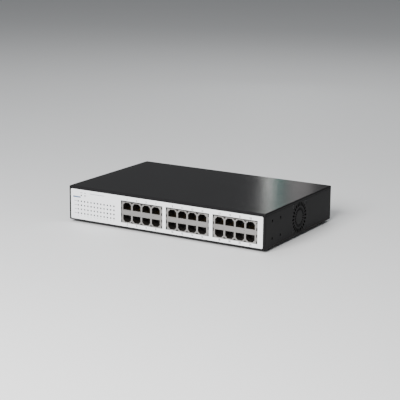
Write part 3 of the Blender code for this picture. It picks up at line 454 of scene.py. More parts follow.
def folded_case(low, high, closed, radius, thickness, holes=None, sides=("-x", "+x", "-y", "+y"), rim=None):
    """An open sheet-metal box with rounded bends, thickened inwards.

    closed is "+z" or "-z", the end that has a flat wall. holes maps a side, or that end, to outlines.
    rim replaces the outline of the "-y" side, for a frame that is open inside.
    """
    holes = holes or {}
    up = 1 if closed[0] == "+" else -1
    flat_z, open_z = (high.z, low.z) if up > 0 else (low.z, high.z)
    bend_z = flat_z - up * radius
    middle_z, height = (bend_z + open_z) / 2, abs(bend_z - open_z)
    inner = {}
    for place, axis in enumerate("xy"):
        inner[axis] = (low[place] + (radius if "-" + axis in sides else 0),
                       high[place] - (radius if "+" + axis in sides else 0))
    shape = bmesh.new()

    def add(outlines, way, place):
        mesh = flat_mesh(outlines)
        mesh.transform(facing(way, place))
        shape.from_mesh(mesh)

    for side in sides:
        sign, axis = (1 if side[0] == "+" else -1), side[1]
        start, end = inner["y" if axis == "x" else "x"]
        wall = rim if rim and side == "-y" else rectangle((start + end) / 2, middle_z, end - start, height)
        at, bend = (high if sign > 0 else low)["xy".index(axis)], inner[axis][sign > 0]
        if axis == "x":
            way, place, out = "right", (at, 0, 0), (sign, 0, 0)
            line = [(bend, y, bend_z) for y in (start, end)]
        else:
            way, place, out = "front", (0, at, 0), (0, sign, 0)
            line = [(x, bend, bend_z) for x in (start, end)]
        add([wall] + holes.get(side, []), way, place)
        bend_strip(shape, *line, out, (0, 0, up), radius)
    for x_sign, x in zip("-+", inner["x"]):
        for y_sign, y in zip("-+", inner["y"]):
            if x_sign + "x" in sides and y_sign + "y" in sides:
                across, along = (int(x_sign + "1"), 0, 0), (0, int(y_sign + "1"), 0)
                bend_strip(shape, (x, y, bend_z), (x, y, open_z), across, along, radius)
                bend_corner(shape, (x, y, bend_z), across, along, (0, 0, up), radius)
    (left, right), (near, far) = inner["x"], inner["y"]
    end_wall = rectangle((left + right) / 2, (near + far) / 2, right - left, far - near)
    add([end_wall] + holes.get(closed, []), "up", (0, 0, flat_z))
    bmesh.ops.remove_doubles(shape, verts=shape.verts, dist=WELD)
    middle = (Vector(low) + Vector(high)) / 2
    for face in shape.faces:
        if face.normal.dot(face.calc_center_median() - middle) < 0:
            face.normal_flip()
    return thickened(shape, thickness, offset=-1)


def thickened(shape, thickness, offset=0):
    """The mesh of an open sheet given a thickness: about itself, or inwards where offset is -1."""
    mesh = bpy.data.meshes.new("sheet")
    shape.to_mesh(mesh)
    shape.free()
    obj = add_object("sheet", mesh)
    solid = obj.modifiers.new("thickness", "SOLIDIFY")
    solid.thickness, solid.offset = thickness, offset
    return modified_mesh(obj)


def modified_mesh(obj):
    """The mesh of an object with its modifiers applied; the object goes."""
    graph = bpy.context.evaluated_depsgraph_get()
    made = bpy.data.meshes.new_from_object(obj.evaluated_get(graph))
    bpy.data.objects.remove(obj)
    return made


def piece(name, meshes, material, stands_for=None, body="chassis"):
    """Joins meshes into one named piece, shades it, ties it to its body, and hides the CAD node it replaces.
    """
    shape = bmesh.new()
    for mesh in meshes if isinstance(meshes, list) else [meshes]:
        shape.from_mesh(mesh)
    for face in shape.faces:
        face.smooth = True
        face.material_index = 0
    for edge in shape.edges:
        edge.smooth = len(edge.link_faces) == 2 and edge.calc_face_angle(0) < SHARP_EDGE
    mesh = bpy.data.meshes.new(name)
    shape.to_mesh(mesh)
    shape.free()
    mesh.materials.append(material)
    obj = add_object(name, mesh)
    weighted = obj.modifiers.new("weighted_normals", "WEIGHTED_NORMAL")
    weighted.keep_sharp = True
    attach(obj, body)
    if stands_for:
        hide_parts(stands_for)
    return obj


# ---------------- materials

def finish(name, colour, roughness, metallic=0.0, second=None, spread=0.5, patch=90.0, grain=2600.0,
           bump=0.05, stretch=(1, 1, 1), rough_spread=0.08, **sockets):
    """A procedural surface: colour and roughness that wander in patches, and a fine bumpy grain."""
    material = bpy.data.materials.new(name)
    material.use_nodes = True
    nodes, links = material.node_tree.nodes, material.node_tree.links
    shader = nodes["Principled BSDF"]
    shader.inputs["Metallic"].default_value = metallic
    for socket, value in sockets.items():
        shader.inputs[socket.replace("_", " ")].default_value = value
    coordinates = nodes.new("ShaderNodeTexCoord")
    mapping = nodes.new("ShaderNodeMapping")
    mapping.inputs["Scale"].default_value = stretch
    links.new(coordinates.outputs["Object"], mapping.inputs["Vector"])

    def noise(scale, detail):
        texture = nodes.new("ShaderNodeTexNoise")
        texture.inputs["Scale"].default_value, texture.inputs["Detail"].default_value = scale, detail
        links.new(mapping.outputs["Vector"], texture.inputs["Vector"])
        return texture.outputs["Fac"]

    def mapped(value, source, target):
        """The value with the source range stretched to the target range."""
        node = nodes.new("ShaderNodeMapRange")
        node.inputs["From Min"].default_value, node.inputs["From Max"].default_value = source
        node.inputs["To Min"].default_value, node.inputs["To Max"].default_value = target
        links.new(value, node.inputs["Value"])
        return node.outputs["Result"]

    patches, grains = noise(patch, PATCH_DETAIL), noise(grain, GRAIN_DETAIL)
    colours = nodes.new("ShaderNodeMix")
    colours.data_type = "RGBA"
    colours.inputs["A"].default_value = (*colour, 1)
    colours.inputs["B"].default_value = (*(second or [c * 0.8 for c in colour]), 1)
    links.new(mapped(patches, PATCH_RANGE, (0, spread)), colours.inputs["Factor"])
    links.new(colours.outputs["Result"], shader.inputs["Base Color"])
    links.new(mapped(patches, (0, 1), (roughness - rough_spread, roughness + rough_spread)),
              shader.inputs["Roughness"])
    lump = nodes.new("ShaderNodeBump")
    lump.inputs["Strength"].default_value = bump
    lump.inputs["Distance"].default_value = GRAIN_HEIGHT
    links.new(grains, lump.inputs["Height"])
    links.new(lump.outputs["Normal"], shader.inputs["Normal"])
    return material


POWDER = finish("powder_coat", (0.0115, 0.0113, 0.0120), 0.18, second=(0.0150, 0.0147, 0.0154), patch=35,
                grain=1900, bump=0.08, rough_spread=0.02, Specular_IOR_Level=0.03)
FILM = finish("panel_film", (0.83, 0.845, 0.86), 0.36, second=(0.79, 0.81, 0.835), patch=25, grain=3000,
              bump=0.06, Specular_IOR_Level=0.5)
# Painted shade: this dull near-black stands in for the shadow inside the fan grille's slots, not for a real
# paint.
SLOT_SHADE = finish("painted_slot_shade", (0.003, 0.003, 0.003), 0.6, bump=0.1, Specular_IOR_Level=0.0)
INK_DARK = finish("printed_ink", (0.012, 0.014, 0.020), 0.5, patch=400, bump=0.02)
INK_BLUE = finish("printed_bar", (0.07, 0.12, 0.22), 0.45, patch=400, bump=0.02)
WINDOW = finish("light_window", (0.012, 0.015, 0.020), 0.22, patch=900, bump=0.01)
SHIELD = finish("tinned_steel", (0.37, 0.357, 0.345), 0.30, 1.0, second=(0.275, 0.263, 0.25), patch=160,
                grain=1500, bump=0.08, stretch=(1, 1, 4), rough_spread=0.1)
PLASTIC = finish("moulded_black", (0.014, 0.0125, 0.011), 0.42, patch=220, grain=2400, bump=0.12)
FAN_BLACK = finish("fan_black", (0.003, 0.003, 0.003), 0.65, patch=220, bump=0.12, Specular_IOR_Level=0.02)
GOLD = finish("gold_plate", (0.86, 0.60, 0.20), 0.24, 1.0, second=(0.76, 0.50, 0.16), patch=700, bump=0.03)
STEEL = finish("bright_steel", (0.58, 0.58, 0.59), 0.3, 1.0, second=(0.42, 0.42, 0.43), patch=300, bump=0.05)
BLACK_ZINC = finish("black_zinc", (0.010, 0.010, 0.012), 0.4, second=(0.022, 0.022, 0.022), patch=400,
                    bump=0.06, Specular_IOR_Level=0.12)
RUBBER = finish("rubber", (0.018, 0.018, 0.018), 0.75, patch=160, grain=3200, bump=0.25)
CLEAR = finish("clear_moulding", (0.72, 0.76, 0.72), 0.14, patch=120, bump=0.02, Transmission_Weight=0.7)
BOARD = finish("board_green", (0.012, 0.10, 0.035), 0.34, second=(0.02, 0.16, 0.06), spread=1.0, patch=420,
               grain=900, bump=0.15)
ALUMINIUM = finish("aluminium", (0.68, 0.69, 0.70), 0.34, 1.0, patch=200, grain=1200, bump=0.06,
                   stretch=(1, 8, 1))
BRASS = finish("brass", (0.70, 0.52, 0.22), 0.28, 1.0, patch=300, bump=0.05)
COPPER = finish("enamelled_copper", (0.62, 0.26, 0.10), 0.28, 0.9, patch=300, grain=500, bump=0.4,
                stretch=(1, 1, 6))
MAGNET = finish("ferrite", (0.06, 0.055, 0.055), 0.6, patch=300, bump=0.2)
TAPE = finish("winding_tape", (0.62, 0.42, 0.06), 0.4, patch=120, grain=700, bump=0.2, stretch=(1, 1, 8))
SLEEVE = finish("capacitor_sleeve", (0.012, 0.02, 0.07), 0.32, patch=120, bump=0.05)
MYLAR = finish("insulating_film", (0.03, 0.03, 0.03), 0.25, patch=80, bump=0.04)
LABEL = finish("label_paper", (0.74, 0.74, 0.73), 0.45, second=(0.70, 0.70, 0.68), patch=60, bump=0.05)
WIRE = finish("wire_sleeve", (0.03, 0.03, 0.03), 0.42, patch=200, bump=0.05)

SLOT_FINISH = {
    "case_paint": POWDER, "panel_white": FILM, "shield_metal": SHIELD, "steel": STEEL,
    "black_screw": BLACK_ZINC, "black_plastic": PLASTIC, "contact_gold": GOLD,
    "light_guide_plastic": CLEAR, "rubber": RUBBER, "board_green": BOARD, "aluminium": ALUMINIUM,
    "brass": BRASS, "copper": COPPER, "magnet": MAGNET, "transformer_tape": TAPE,
    "capacitor_sleeve": SLEEVE, "insulating_film": MYLAR, "label_paper": LABEL, "wire_sleeve": WIRE,
}


def dress_nodes():
    """Gives every CAD node the finish of its material slot."""
    for entry in frame["record"]["subparts"]:
        node = frame["nodes"][entry["node"]]
        for place in node.material_slots:
            place.link = "OBJECT"
            place.material = SLOT_FINISH[entry["material_slot"]]


# ---------------- case

def corner_holes(radius):
    """The fan's four screw holes."""
    return [circle(FAN_Y + a * FAN_SCREW_OFFSET, FAN_Z + b * FAN_SCREW_OFFSET, radius)
            for a in (-1, 1) for b in (-1, 1)]


def grille_outlines():
    turn = 2 * math.pi / GRILLE_RAYS
    slots = [radial_slot(FAN_Y, FAN_Z, turn * ray, inner, outer, width)
             for inner, outer, width in GRILLE_RINGS for ray in range(GRILLE_RAYS)]
    return slots + corner_holes(FAN_SCREW_HOLE)


def vent_row(start, count, height):
    return [rounded(start + VENT_PITCH * i, height, *VENT_SLOT, VENT_SLOT[0] / 2) for i in range(count)]


def make_tray():
    ears = [circle(y, z, EAR_HOLE) for y in EAR_Y for z in EAR_Z]
    rear_holes = vent_row(REAR_VENT_X, REAR_VENTS, REAR_VENT_Z)
    rear_holes.append(rectangle(INLET_X, INLET_Z, INLET_BODY[0] + 2 * GAP, INLET_BODY[1] + 2 * GAP))
    rear_holes += [circle(centre(node).x, centre(node).z, REAR_SCREW_HOLE) for node in REAR_SCREWS]
    flat_side, flat_base = SIDE - BEND, BASE + BEND
    left, right, base = film_low.x - FILM_GAP, film_high.x + FILM_GAP, film_low.z - FILM_GAP
    rim = [(-flat_side, SEAM), (-flat_side, flat_base), (flat_side, flat_base), (flat_side, SEAM),
           (right, SEAM), (right, base), (left, base), (left, SEAM)]
    holes = {"+x": ears + grille_outlines(), "+y": rear_holes,
             "-x": ears + vent_row(LEFT_VENT_Y, LEFT_VENTS, LEFT_VENT_Z)}
    tray = [folded_case(tray_low, tray_high, "-z", BEND, SHEET, holes, rim=rim)]
    tray += [tapped_boss((side * (SIDE - SHEET), y, z), -side)
             for side in (-1, 1) for y in EAR_Y for z in EAR_Z]
    bore_floor = POST_HEIGHT - POST_BORE_DEPTH
    post = [(POST_RADIUS, POST_HEIGHT), (POST_RADIUS, 0), (0, 0), (0, bore_floor), (POST_BORE, bore_floor),
            (POST_BORE, POST_HEIGHT)]
    tray += [turned(post, "up", (x, y, BASE + SHEET - OVERLAP), steps=6) for x, y in POSTS]
    case = piece("case_tray", tray, POWDER, "base_tray")
    paint_slot_shade(case.data)


def paint_slot_shade(mesh):
    """Paints shade on the cut walls of the fan's slots: a dull near-black, so that they stay near black as
    if in shadow.
    """
    mesh.materials.append(SLOT_SHADE)
    for face in mesh.polygons:
        from_fan = math.hypot(face.center.y - FAN_Y, face.center.z - FAN_Z)
        if SIDE - SHEET - GAP < face.center.x and abs(face.normal.x) < 0.5 and from_fan < GRILLE_EDGE:
            face.material_index = 1


def tapped_boss(place, inward):
    """A pressed boss behind an ear hole, with the grooves of its thread. inward is 1 or -1 along x."""
    profile = [(EAR_HOLE, -OVERLAP), (BOSS_RADIUS, -OVERLAP), (BOSS_RADIUS, BOSS_DEPTH - BOSS_CHAMFER),
               (BOSS_RADIUS - BOSS_CHAMFER, BOSS_DEPTH)]
    profile += [(EAR_HOLE - (GROOVE_DEPTH if turn % 2 else 0), BOSS_DEPTH - GROOVE_PITCH * turn)
                for turn in range(GROOVES)]
    mesh = turned(profile, steps=24)
    mesh.transform(Matrix.Translation(Vector(place)) @ Matrix.Rotation(math.radians(90 * inward), 4, "Y"))
    return mesh


def make_lid():
    low = Vector((lid_low.x, lid_low.y, TOP - LID_LIP))
    lid = [folded_case(low, lid_high, "+z", BEND, SHEET)]
    tab_y, tab_top = REAR - SHEET - GAP - SHEET / 2, TOP - TAB_BELOW_TOP
    for node in LID_SCREWS:
        x, z = centre(node).x, centre(node).z
        tab_foot = z - TAB_BELOW_HOLE
        outline = rounded(x, (tab_foot + tab_top) / 2, TAB_WIDTH, tab_top - tab_foot, TAB_CORNER)
        lid.append(plate([outline, circle(x, z, TAB_HOLE)], SHEET, "front", (0, tab_y, 0)))
    hook_front = FRONT + HOOK_BEHIND_FRONT
    for x in HOOKS:
        lid.append(block((x - HOOK_WIDTH / 2, hook_front, lid_low.z + HOOK_LIFT),
                         (x + HOOK_WIDTH / 2, hook_front + SHEET, TOP - HOOK_BELOW_TOP), FOLD_EDGE))
    piece("case_lid", lid, POWDER, "lid")


# ---------------- front panel

def block_middles():
    return [(low.x + high.x) / 2 for low, high in shield_boxes]


def cutouts():
    return [rectangle(x, MID_Z + CUTOUT_RISE, *CUTOUT) for x in block_middles()]


def columns(middle):
    """The centre of each socket column of a block."""
    return [middle + PORT_PITCH * (i - (PORT_COLUMNS - 1) / 2) for i in range(PORT_COLUMNS)]


def make_front_plate():
    """The steel plate behind the printed film, with a return at each end."""
    low, high = film_low.z + PLATE_MARGIN, SEAM - PLATE_MARGIN
    middle, reach = (low + high) / 2, film_high.x - PLATE_MARGIN
    span = LIGHT_PITCH_Z * (LIGHT_ROWS - 1)
    slots = [rounded(LIGHT_FIRST_X + LIGHT_PITCH_X * i, LIGHT_FIRST_Z + span / 2, LIGHT_SLOT,
                     span + LIGHT_SLOT, LIGHT_SLOT / 2, steps=4) for i in range(LIGHT_COLUMNS)]
    front = film_high.y + FILM_GAP
    meshes = [plate([rectangle(0, middle, 2 * reach, high - low)] + cutouts() + slots, SHEET, "front",
                    (0, front + SHEET / 2, 0))]
    for side in (-1, 1):
        ends = sorted((side * (reach - SHEET), side * reach))
        meshes.append(block((ends[0], front + SHEET / 2, low), (ends[1], plate_back, high), FOLD_EDGE))
    piece("steel_front", meshes, POWDER, "front_plate")


def make_film():
    middle, height = (film_low.z + film_high.z) / 2, film_high.z - film_low.z
    outline = rounded(0, middle, film_high.x - film_low.x, height, FILM_CORNER)
    thickness = film_high.y - film_low.y - INK_PROUD
    film = plate([outline] + cutouts(), thickness, "front", (0, film_high.y - thickness / 2, 0), FILM_EDGE)
    piece("panel_film", film, FILM, "front_overlay")


def printed(outline):
    """A thin printed mark on the film."""
    return plate([outline], INK, "front", (0, FRONT + INK / 2, 0), INK_EDGE)


def numeral(text, x, z):
    data = bpy.data.curves.new("numeral", "FONT")
    data.body, data.size, data.extrude, data.offset = text, NUMERAL_SIZE, INK / 2, NUMERAL_BOLD
    data.align_x, data.align_y = "CENTER", "CENTER"
    mesh = mesh_of(data)
    weld(mesh, TINY)
    mesh.transform(facing("front", (x, FRONT + INK / 2, z)))
    return mesh


def make_numerals():
    """Counting numbers over and under the sockets."""
    numerals = []
    above = MID_Z + CUTOUT_RISE + CUTOUT[1] / 2 + NUMERAL_GAP
    below = MID_Z + CUTOUT_RISE - CUTOUT[1] / 2 - NUMERAL_GAP
    for number, x in enumerate(x for middle in block_middles() for x in columns(middle)):
        numerals += [numeral(str(2 * number + 1), x, above), numeral(str(2 * number + 2), x, below)]
    piece("port_numerals", numerals, INK_DARK)


def make_print():
    """The windows of the status lights, and plain bars for the legends."""
    windows, marks = [], []
    heights = [LIGHT_FIRST_Z + LIGHT_PITCH_Z * row for row in range(LIGHT_ROWS)]
    for column in range(LIGHT_COLUMNS):
        x = LIGHT_FIRST_X + LIGHT_PITCH_X * column
        windows += [printed(rounded(x, z, LIGHT_WINDOW, LIGHT_WINDOW, LIGHT_CORNER, steps=3))
                    for z in heights]
        marks.append(printed(rectangle(x, LIGHT_FIRST_Z - COLUMN_MARK_DROP, *COLUMN_MARK)))
    marks += [printed(rectangle(LIGHT_FIRST_X - ROW_MARK_ASIDE, z, *ROW_MARK)) for z in heights]
    windows += [printed(circle(x, ROUND_LIGHT_Z, ROUND_LIGHT, steps=16)) for x in ROUND_LIGHTS]
    marks += [printed(rectangle(x, TOP_MARK_Z, width, TOP_MARK))
              for x, width in zip(ROUND_LIGHTS, ROUND_LIGHT_MARKS)]
    bars = [printed(rounded(*NAME_BAR, NAME_BAR_CORNER, steps=3)), printed(rectangle(*TITLE_BAR))]
    piece("light_windows", windows, WINDOW)
    piece("legend_marks", marks, INK_DARK)
    piece("printed_bars", bars, INK_BLUE)


# ---------------- sockets

def mouths(middle, inset=0.0):
    """The eight mouths of a block: straight sides, sloped shoulders and a latch notch each."""
    return [symmetric(x, MID_Z + up * (MID_BAR / 2 - inset), up, MOUTH_SIDE)
            for x in columns(middle) for up in (-1, 1)]


def finger(place, side):
    """A sprung strip beside a shield, which bows out to one side and runs back along +Y."""
    shape, rows = bmesh.new(), []
    for reach, run in FINGER_PATH:
        middle = Vector(place) + Vector((side * reach * MM, run * MM, 0))
        rows.append([shape.verts.new(middle + Vector((0, 0, end * FINGER_WIDTH / 2))) for end in (-1, 1)])
    for near, far in zip(rows, rows[1:]):
        shape.faces.new((near[0], near[1], far[1], far[0]))
    return thickened(shape, FINGER_SHEET)


def make_block(number):
    """One block of eight sockets: its shield, its moulded housing and its sprung contacts."""
    low, high = shield_boxes[number - 1]
    middle = (low.x + high.x) / 2
    webs = [x + PORT_PITCH / 2 for x in columns(middle)[:-1]]
    springs = [symmetric(x, MID_Z + up * MID_BAR / 2, up, SPRING_SIDE) for x in webs for up in (-1, 1)]
    shield = [folded_case(low, high, "+z", SHIELD_BEND, SHIELD_SHEET, {"-y": mouths(middle) + springs},
                          sides=("-x", "+x", "-y"))]
    shield += [finger((edge, FRONT, MID_Z + rise), side)
               for side, edge in ((-1, low.x), (1, high.x)) for rise in FINGER_RISES]
    piece(f"socket_shield_{number}", shield, SHIELD, f"port_shield_{number}")

    body_low, body_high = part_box(f"port_housing_{number}")
    tall, front, back = body_high.z - body_low.z, body_low.y, FRONT + PORT_DEPTH
    outline = rectangle(middle, (body_low.z + body_high.z) / 2, body_high.x - body_low.x, tall)
    housing = [plate([outline] + mouths(middle, HOUSING_INSET), back - front, "front",
                     (0, front + (back - front) / 2, 0), HOUSING_EDGE),
               block((body_low.x, back - OVERLAP, body_low.z), body_high)]
    piece(f"socket_housing_{number}", housing, PLASTIC, f"port_housing_{number}")

    paths, bar = [], MID_BAR / 2 - GAP
    for x in columns(middle):
        for contact in range(CONTACTS):
            across = x + CONTACT_PITCH * (contact - (CONTACTS - 1) / 2)
            for up in (-1, 1):
                paths.append([(across, FRONT + y * MM, MID_Z + up * (bar + rise * MM))
                              for y, rise in CONTACT_PATH])
    piece(f"socket_contacts_{number}", wires(paths, CONTACT_RADIUS), GOLD, f"port_contacts_{number}")


# ---------------- fan

def blade(turn, back, front, rows=8, steps=10):
    """One fan blade: a twisted sheet from inside the hub's wall to the tip."""
    shape, grid = bmesh.new(), []
    for i in range(rows + 1):
        share = i / rows
        radius = BLADE_ROOT + share * (BLADE_TIP - BLADE_ROOT)
        pitch = math.radians(BLADE_PITCH - BLADE_TWIST * share)
        taper = 1 - BLADE_TIP_TAPER * share ** 6
        half_chord = (front - back - BLADE_CLEARANCE) / 2 / math.cos(pitch) * taper
        row = []
        for j in range(steps + 1):
            end = 2 * j / steps - 1
            aside = end * half_chord * math.sin(pitch) / radius
            angle = turn + math.radians(BLADE_SWEEP) * share + aside + BLADE_BOW * (1 - end * end)
            row.append(shape.verts.new(((back + front) / 2 + end * half_chord * math.cos(pitch),
                                        FAN_Y + radius * math.cos(angle), FAN_Z + radius * math.sin(angle))))
        grid.append(row)
    for near, far in zip(grid, grid[1:]):
        for j in range(steps):
            shape.faces.new((near[j], near[j + 1], far[j + 1], far[j]))
    return thickened(shape, BLADE_SHEET)


def make_fan():
    middle = (fan_low.x + fan_high.x) / 2
    size, depth = fan_high.y - fan_low.y, fan_high.x - fan_low.x
    outline = rounded(FAN_Y, FAN_Z, size, size, FAN_CORNER)
    bore = circle(FAN_Y, FAN_Z, FAN_BORE, steps=64)
    motor = [(HUB_RADIUS, MOTOR_PLATE), (HUB_RADIUS, 0), (MOTOR_HOLE, 0), (MOTOR_HOLE, MOTOR_PLATE)]
    housing = [plate([outline, bore] + corner_holes(FAN_THROUGH_HOLE), depth, "right", (middle, 0, 0),
                     FAN_EDGE, bends=2),
               turned(motor, "right", (fan_low.x, FAN_Y, FAN_Z), steps=48)]
    for number in range(STRUTS):
        strut = block((-STRUT_DEPTH / 2, STRUT_START, -STRUT_WIDTH / 2),
                      (STRUT_DEPTH / 2, FAN_BORE + STRUT_OVERRUN, STRUT_WIDTH / 2), FAN_EDGE)
        strut.transform(Matrix.Translation((fan_low.x + STRUT_PLACE, FAN_Y, FAN_Z))
                        @ Matrix.Rotation(math.radians(90 + 360 / STRUTS * number), 4, "X"))
        housing.append(strut)
    piece("fan_housing", housing, FAN_BLACK, "fan_frame")

    back, front = hub_low.x, hub_high.x
    hub = [(0, front)]
    hub += [(HUB_RADIUS - inwards * MM, front - backwards * MM) for inwards, backwards in HUB_ROUND]
    hub += [(HUB_RADIUS, back), (HUB_RADIUS - HUB_SHELL, back), (HUB_RADIUS - HUB_SHELL, front - HUB_FACE),
            (0, front - HUB_FACE)]
    rotor = [turned(hub, "right", (0, FAN_Y, FAN_Z), steps=64)]
    rotor += [blade(2 * math.pi * number / BLADES, back, front) for number in range(BLADES)]
    piece("fan_impeller", rotor, FAN_BLACK, "fan_rotor", body="fan_rotor")


# ---------------- screws, feet, label

def carved(mesh, cutter):
    """The mesh with the cutter's shape cut out of it."""
    obj, tool = add_object("carved", mesh), add_object("cutter", cutter)
    cut = obj.modifiers.new("cut", "BOOLEAN")
    cut.solver, cut.object = "EXACT", tool
    made = modified_mesh(obj)
    bpy.data.objects.remove(tool)
    weld(made)
    return made


def screw_head(radius, height, flat):
    """The profile of a flat head with a broken edge, or of a domed head over a straight rim."""
    if flat:
        return [(0, height), (radius - HEAD_CHAMFER, height), (radius, height - HEAD_CHAMFER),
                (radius, height - HEAD_FLANK)]
    profile, last = [], math.radians(DOME_END)
    for step in range(DOME_STEPS + 1):
        angle = math.radians(90 - (90 - DOME_END) / DOME_STEPS * step)
        rise = (math.sin(angle) - math.sin(last)) / (1 - math.sin(last))
        profile.append((radius * math.cos(angle) / math.cos(last),
                        height * (DOME_RIM + (1 - DOME_RIM) * rise)))
    return profile + [(radius, 0)]


def screw(kind, way, place):
    """A screw with a grooved shank and a cross recess; place is the middle of its head's underside."""
    radius, height, shank_radius, length = (value * MM for value in SCREW_SIZES[kind])
    shank = [(shank_radius - (SCREW_GROOVE if turn % 2 else 0), -SCREW_PITCH * turn)
             for turn in range(int(length / SCREW_PITCH))]
    shank.append((0, -length - SCREW_POINT * shank_radius))
    arm, width, tip = RECESS_ARM * radius, RECESS_WIDTH * radius, RECESS_TIP * radius
    cross = [(width, width), (tip, arm), (-tip, arm), (-width, width), (-arm, tip), (-arm, -tip),
             (-width, -width), (-tip, -arm), (tip, -arm), (width, -width), (arm, -tip), (arm, tip)]
    recess = flat_mesh([cross], height)
    recess.transform(Matrix.Translation((0, 0, height)))
    mesh = carved(turned(screw_head(radius, height, kind == "fan") + shank), recess)
    mesh.transform(facing(way, place))
    return mesh


def make_screws():
    for node in FAN_SCREWS + REAR_SCREWS:
        kind, at = node.split("_")[0], centre(node)
        way, place = "rear", (at.x, REAR + GAP, at.z)
        if kind == "fan":
            way, place = "right", (SIDE - SHEET, at.y, at.z)
        look, slot = (STEEL, "steel") if kind == "ground" else (BLACK_ZINC, "black_screw")
        piece(node.replace("screw", "fixing"), screw(kind, way, place), look, node)


def make_feet():
    """Four round feet with a rounded lower edge and a dimple underneath."""
    for number in range(1, 5):
        low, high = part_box(f"rubber_foot_{number}")
        radius, top = (high.x - low.x) / 2, high.z
        profile = [(0, top), (radius - FOOT_CHAMFER, top), (radius, top - FOOT_CHAMFER),
                   (radius, FOOT_ROUND + FOOT_CHAMFER)]
        for step in range(5):
            angle = math.radians(22.5 * step)
            profile.append((radius - FOOT_ROUND * (1 - math.cos(angle)), FOOT_ROUND * (1 - math.sin(angle))))
        profile += [(reach * MM, height * MM) for reach, height in FOOT_DIMPLE]
        foot = turned(profile, "up", ((low.x + high.x) / 2, (low.y + high.y) / 2, 0), steps=40)
        piece(f"foot_{number}", foot, RUBBER, f"rubber_foot_{number}")


def make_label():
    """A blank label under the case, with plain rules, bars and a square in place of its print."""
    width, depth = label_high.x - label_low.x, label_high.y - label_low.y
    thickness = label_high.z - label_low.z
    paper = plate([rounded(0, 0, width, depth, LABEL_CORNER)], thickness, "down",
                  (0, 0, (label_low.z + label_high.z) / 2), LABEL_EDGE)
    piece("label_paper", paper, LABEL, "rating_label")
    marks = [[rectangle(0, y, *LABEL_RULE)] for y in (LABEL_RULE_Y, -LABEL_RULE_Y)]
    for line in range(LABEL_LINES):
        length = LABEL_LINE_LENGTHS[line % len(LABEL_LINE_LENGTHS)]
        marks.append([rectangle(LABEL_LINE_X, LABEL_LINE_Y - LABEL_LINE_PITCH * line, length, LABEL_LINE)])
    marks.append([rectangle(*LABEL_SQUARE_AT, side, side) for side in LABEL_SQUARE_SIDES])
    meshes = [plate(outlines, INK, "down", (0, 0, label_low.z), INK_EDGE) for outlines in marks]
    piece("label_print", meshes, INK_DARK)


# ---------------- rear

def make_inlet():
    """The mains inlet: a flange and a well round its mouth, the floor behind it, and three pins."""
    half_w, half_h, corner = INLET_MOUTH[0] / 2, INLET_MOUTH[1] / 2, INLET_CHAMFER
    opening = [(-half_w, -half_h), (half_w, -half_h), (half_w, half_h - corner), (half_w - corner, half_h),
               (corner - half_w, half_h), (-half_w, half_h - corner)]
    flange_back, outer = REAR + GAP, inlet_high.y
    screw_holes = [circle(side * INLET_SCREW_OFFSET, 0, INLET_SCREW_HOLE) for side in (-1, 1)]
    flange = plate([rounded(0, 0, *INLET_FLANGE, INLET_FLANGE_CORNER), opening] + screw_holes,
                   outer - flange_back, "rear", (INLET_X, (outer + flange_back) / 2, INLET_Z),
                   INLET_FLANGE_EDGE, bends=3)
    depth = INLET_WALL + INLET_LAP
    well = plate([rounded(0, 0, *INLET_BODY, INLET_BODY_CORNER), opening], depth, "rear",
                 (INLET_X, flange_back + OVERLAP - depth / 2, INLET_Z), INLET_BODY_EDGE)
    floor = block((INLET_X - INLET_BODY[0] / 2, inlet_low.y, INLET_Z - INLET_BODY[1] / 2),
                  (INLET_X + INLET_BODY[0] / 2, REAR - INLET_WALL, INLET_Z + INLET_BODY[1] / 2))
    piece("inlet_moulding", [flange, well, floor], PLASTIC, "ac_inlet")
    for name in ("line", "neutral", "earth"):
        node = f"inlet_pin_{name}"
        pin = block(*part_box(node), INLET_PIN_EDGE, steps=3)
        piece(f"inlet_blade_{name}", pin, STEEL, node)


def make_rear_marks():
    """The earth sign beside its screw: a stem and three shortening bars."""
    at = centre("ground_screw")
    place = (at.x - EARTH_SIGN_ASIDE, REAR + INK_PROUD, at.z)
    marks = [plate([rectangle(0, rise * MM, width * MM, height * MM)], INK, "rear", place, INK_EDGE)
             for rise, width, height in EARTH_BARS]
    piece("earth_sign", marks, FILM)


# ---------------- camera and studio

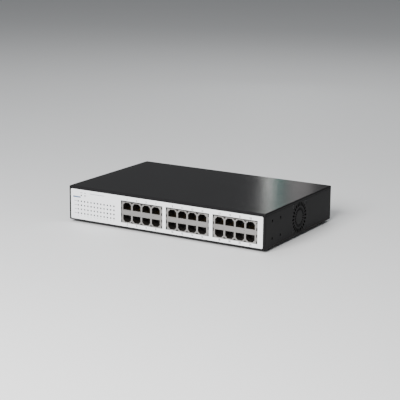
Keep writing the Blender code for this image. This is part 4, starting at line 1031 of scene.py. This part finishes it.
def make_camera():
    """The photograph's viewing angle, fitted from the sockets and the corners of the case."""
    forward = Vector((-math.sin(CAMERA_YAW) * math.cos(CAMERA_PITCH),
                      math.cos(CAMERA_YAW) * math.cos(CAMERA_PITCH), math.sin(CAMERA_PITCH)))
    level = Vector((math.cos(CAMERA_YAW), math.sin(CAMERA_YAW), 0))
    upright = level.cross(forward)
    right = math.cos(CAMERA_ROLL) * level + math.sin(CAMERA_ROLL) * upright
    up = math.cos(CAMERA_ROLL) * upright - math.sin(CAMERA_ROLL) * level
    data = bpy.data.cameras.new("camera")
    data.lens, data.sensor_width = CAMERA_LENS, SENSOR
    data.clip_start, data.clip_end = CAMERA_CLIP
    camera = add_object("camera", data)
    turn = Matrix((right, up, -forward)).transposed().to_4x4()
    camera.matrix_world = Matrix.Translation(CAMERA_PLACE) @ turn
    bpy.context.scene.camera = camera


def area_light(name, place, target, width, height, power, colour):
    data = bpy.data.lights.new(name, "AREA")
    data.shape = "RECTANGLE"
    data.size, data.size_y, data.energy, data.color = width, height, power, colour
    light = add_object(name, data)
    light.location = place
    light.rotation_mode = "QUATERNION"
    light.rotation_quaternion = (Vector(target) - Vector(place)).to_track_quat("-Z", "Y")
    light.visible_camera = False


def mirrored(x, y):
    """Where a light must stand for the lid to mirror it to the camera at x, y."""
    spot = Vector((x, y, TOP))
    seen = spot - CAMERA_PLACE
    seen.z = -seen.z
    return spot + seen.normalized() * REFLECTION_DISTANCE


def make_floor():
    floor = bpy.data.meshes.new("floor")
    corners = [(x * FLOOR_REACH, y * FLOOR_REACH, 0) for x, y in ((-1, -1), (1, -1), (1, 1), (-1, 1))]
    floor.from_pydata(corners, [], [(0, 1, 2, 3)])
    floor.materials.append(finish("floor_paint", (0.78, 0.79, 0.80), 0.6, second=(0.76, 0.77, 0.78), patch=2,
                                  grain=600, bump=0.02))
    add_object("floor", floor)


def make_lights():
    world = bpy.data.worlds.new("studio")
    bpy.context.scene.world = world
    world.use_nodes = True
    world.node_tree.nodes["Background"].inputs["Color"].default_value = WORLD_COLOUR
    world.node_tree.nodes["Background"].inputs["Strength"].default_value = WORLD_STRENGTH
    for light in LIGHTS:
        area_light(*light)
    for number, (x, width, power, colour) in enumerate(REFLECTIONS):
        area_light(f"strip_{number + 1}", mirrored(x, REFLECTION_Y), (x, REFLECTION_Y, TOP), width,
                   REFLECTION_LENGTH, power, colour)


dress_nodes()
make_tray()
make_lid()
make_front_plate()
make_film()
make_numerals()
make_print()
for block_number in (1, 2, 3):
    make_block(block_number)
make_fan()
make_screws()
make_feet()
make_label()
make_inlet()
make_rear_marks()
make_camera()
make_floor()
make_lights()
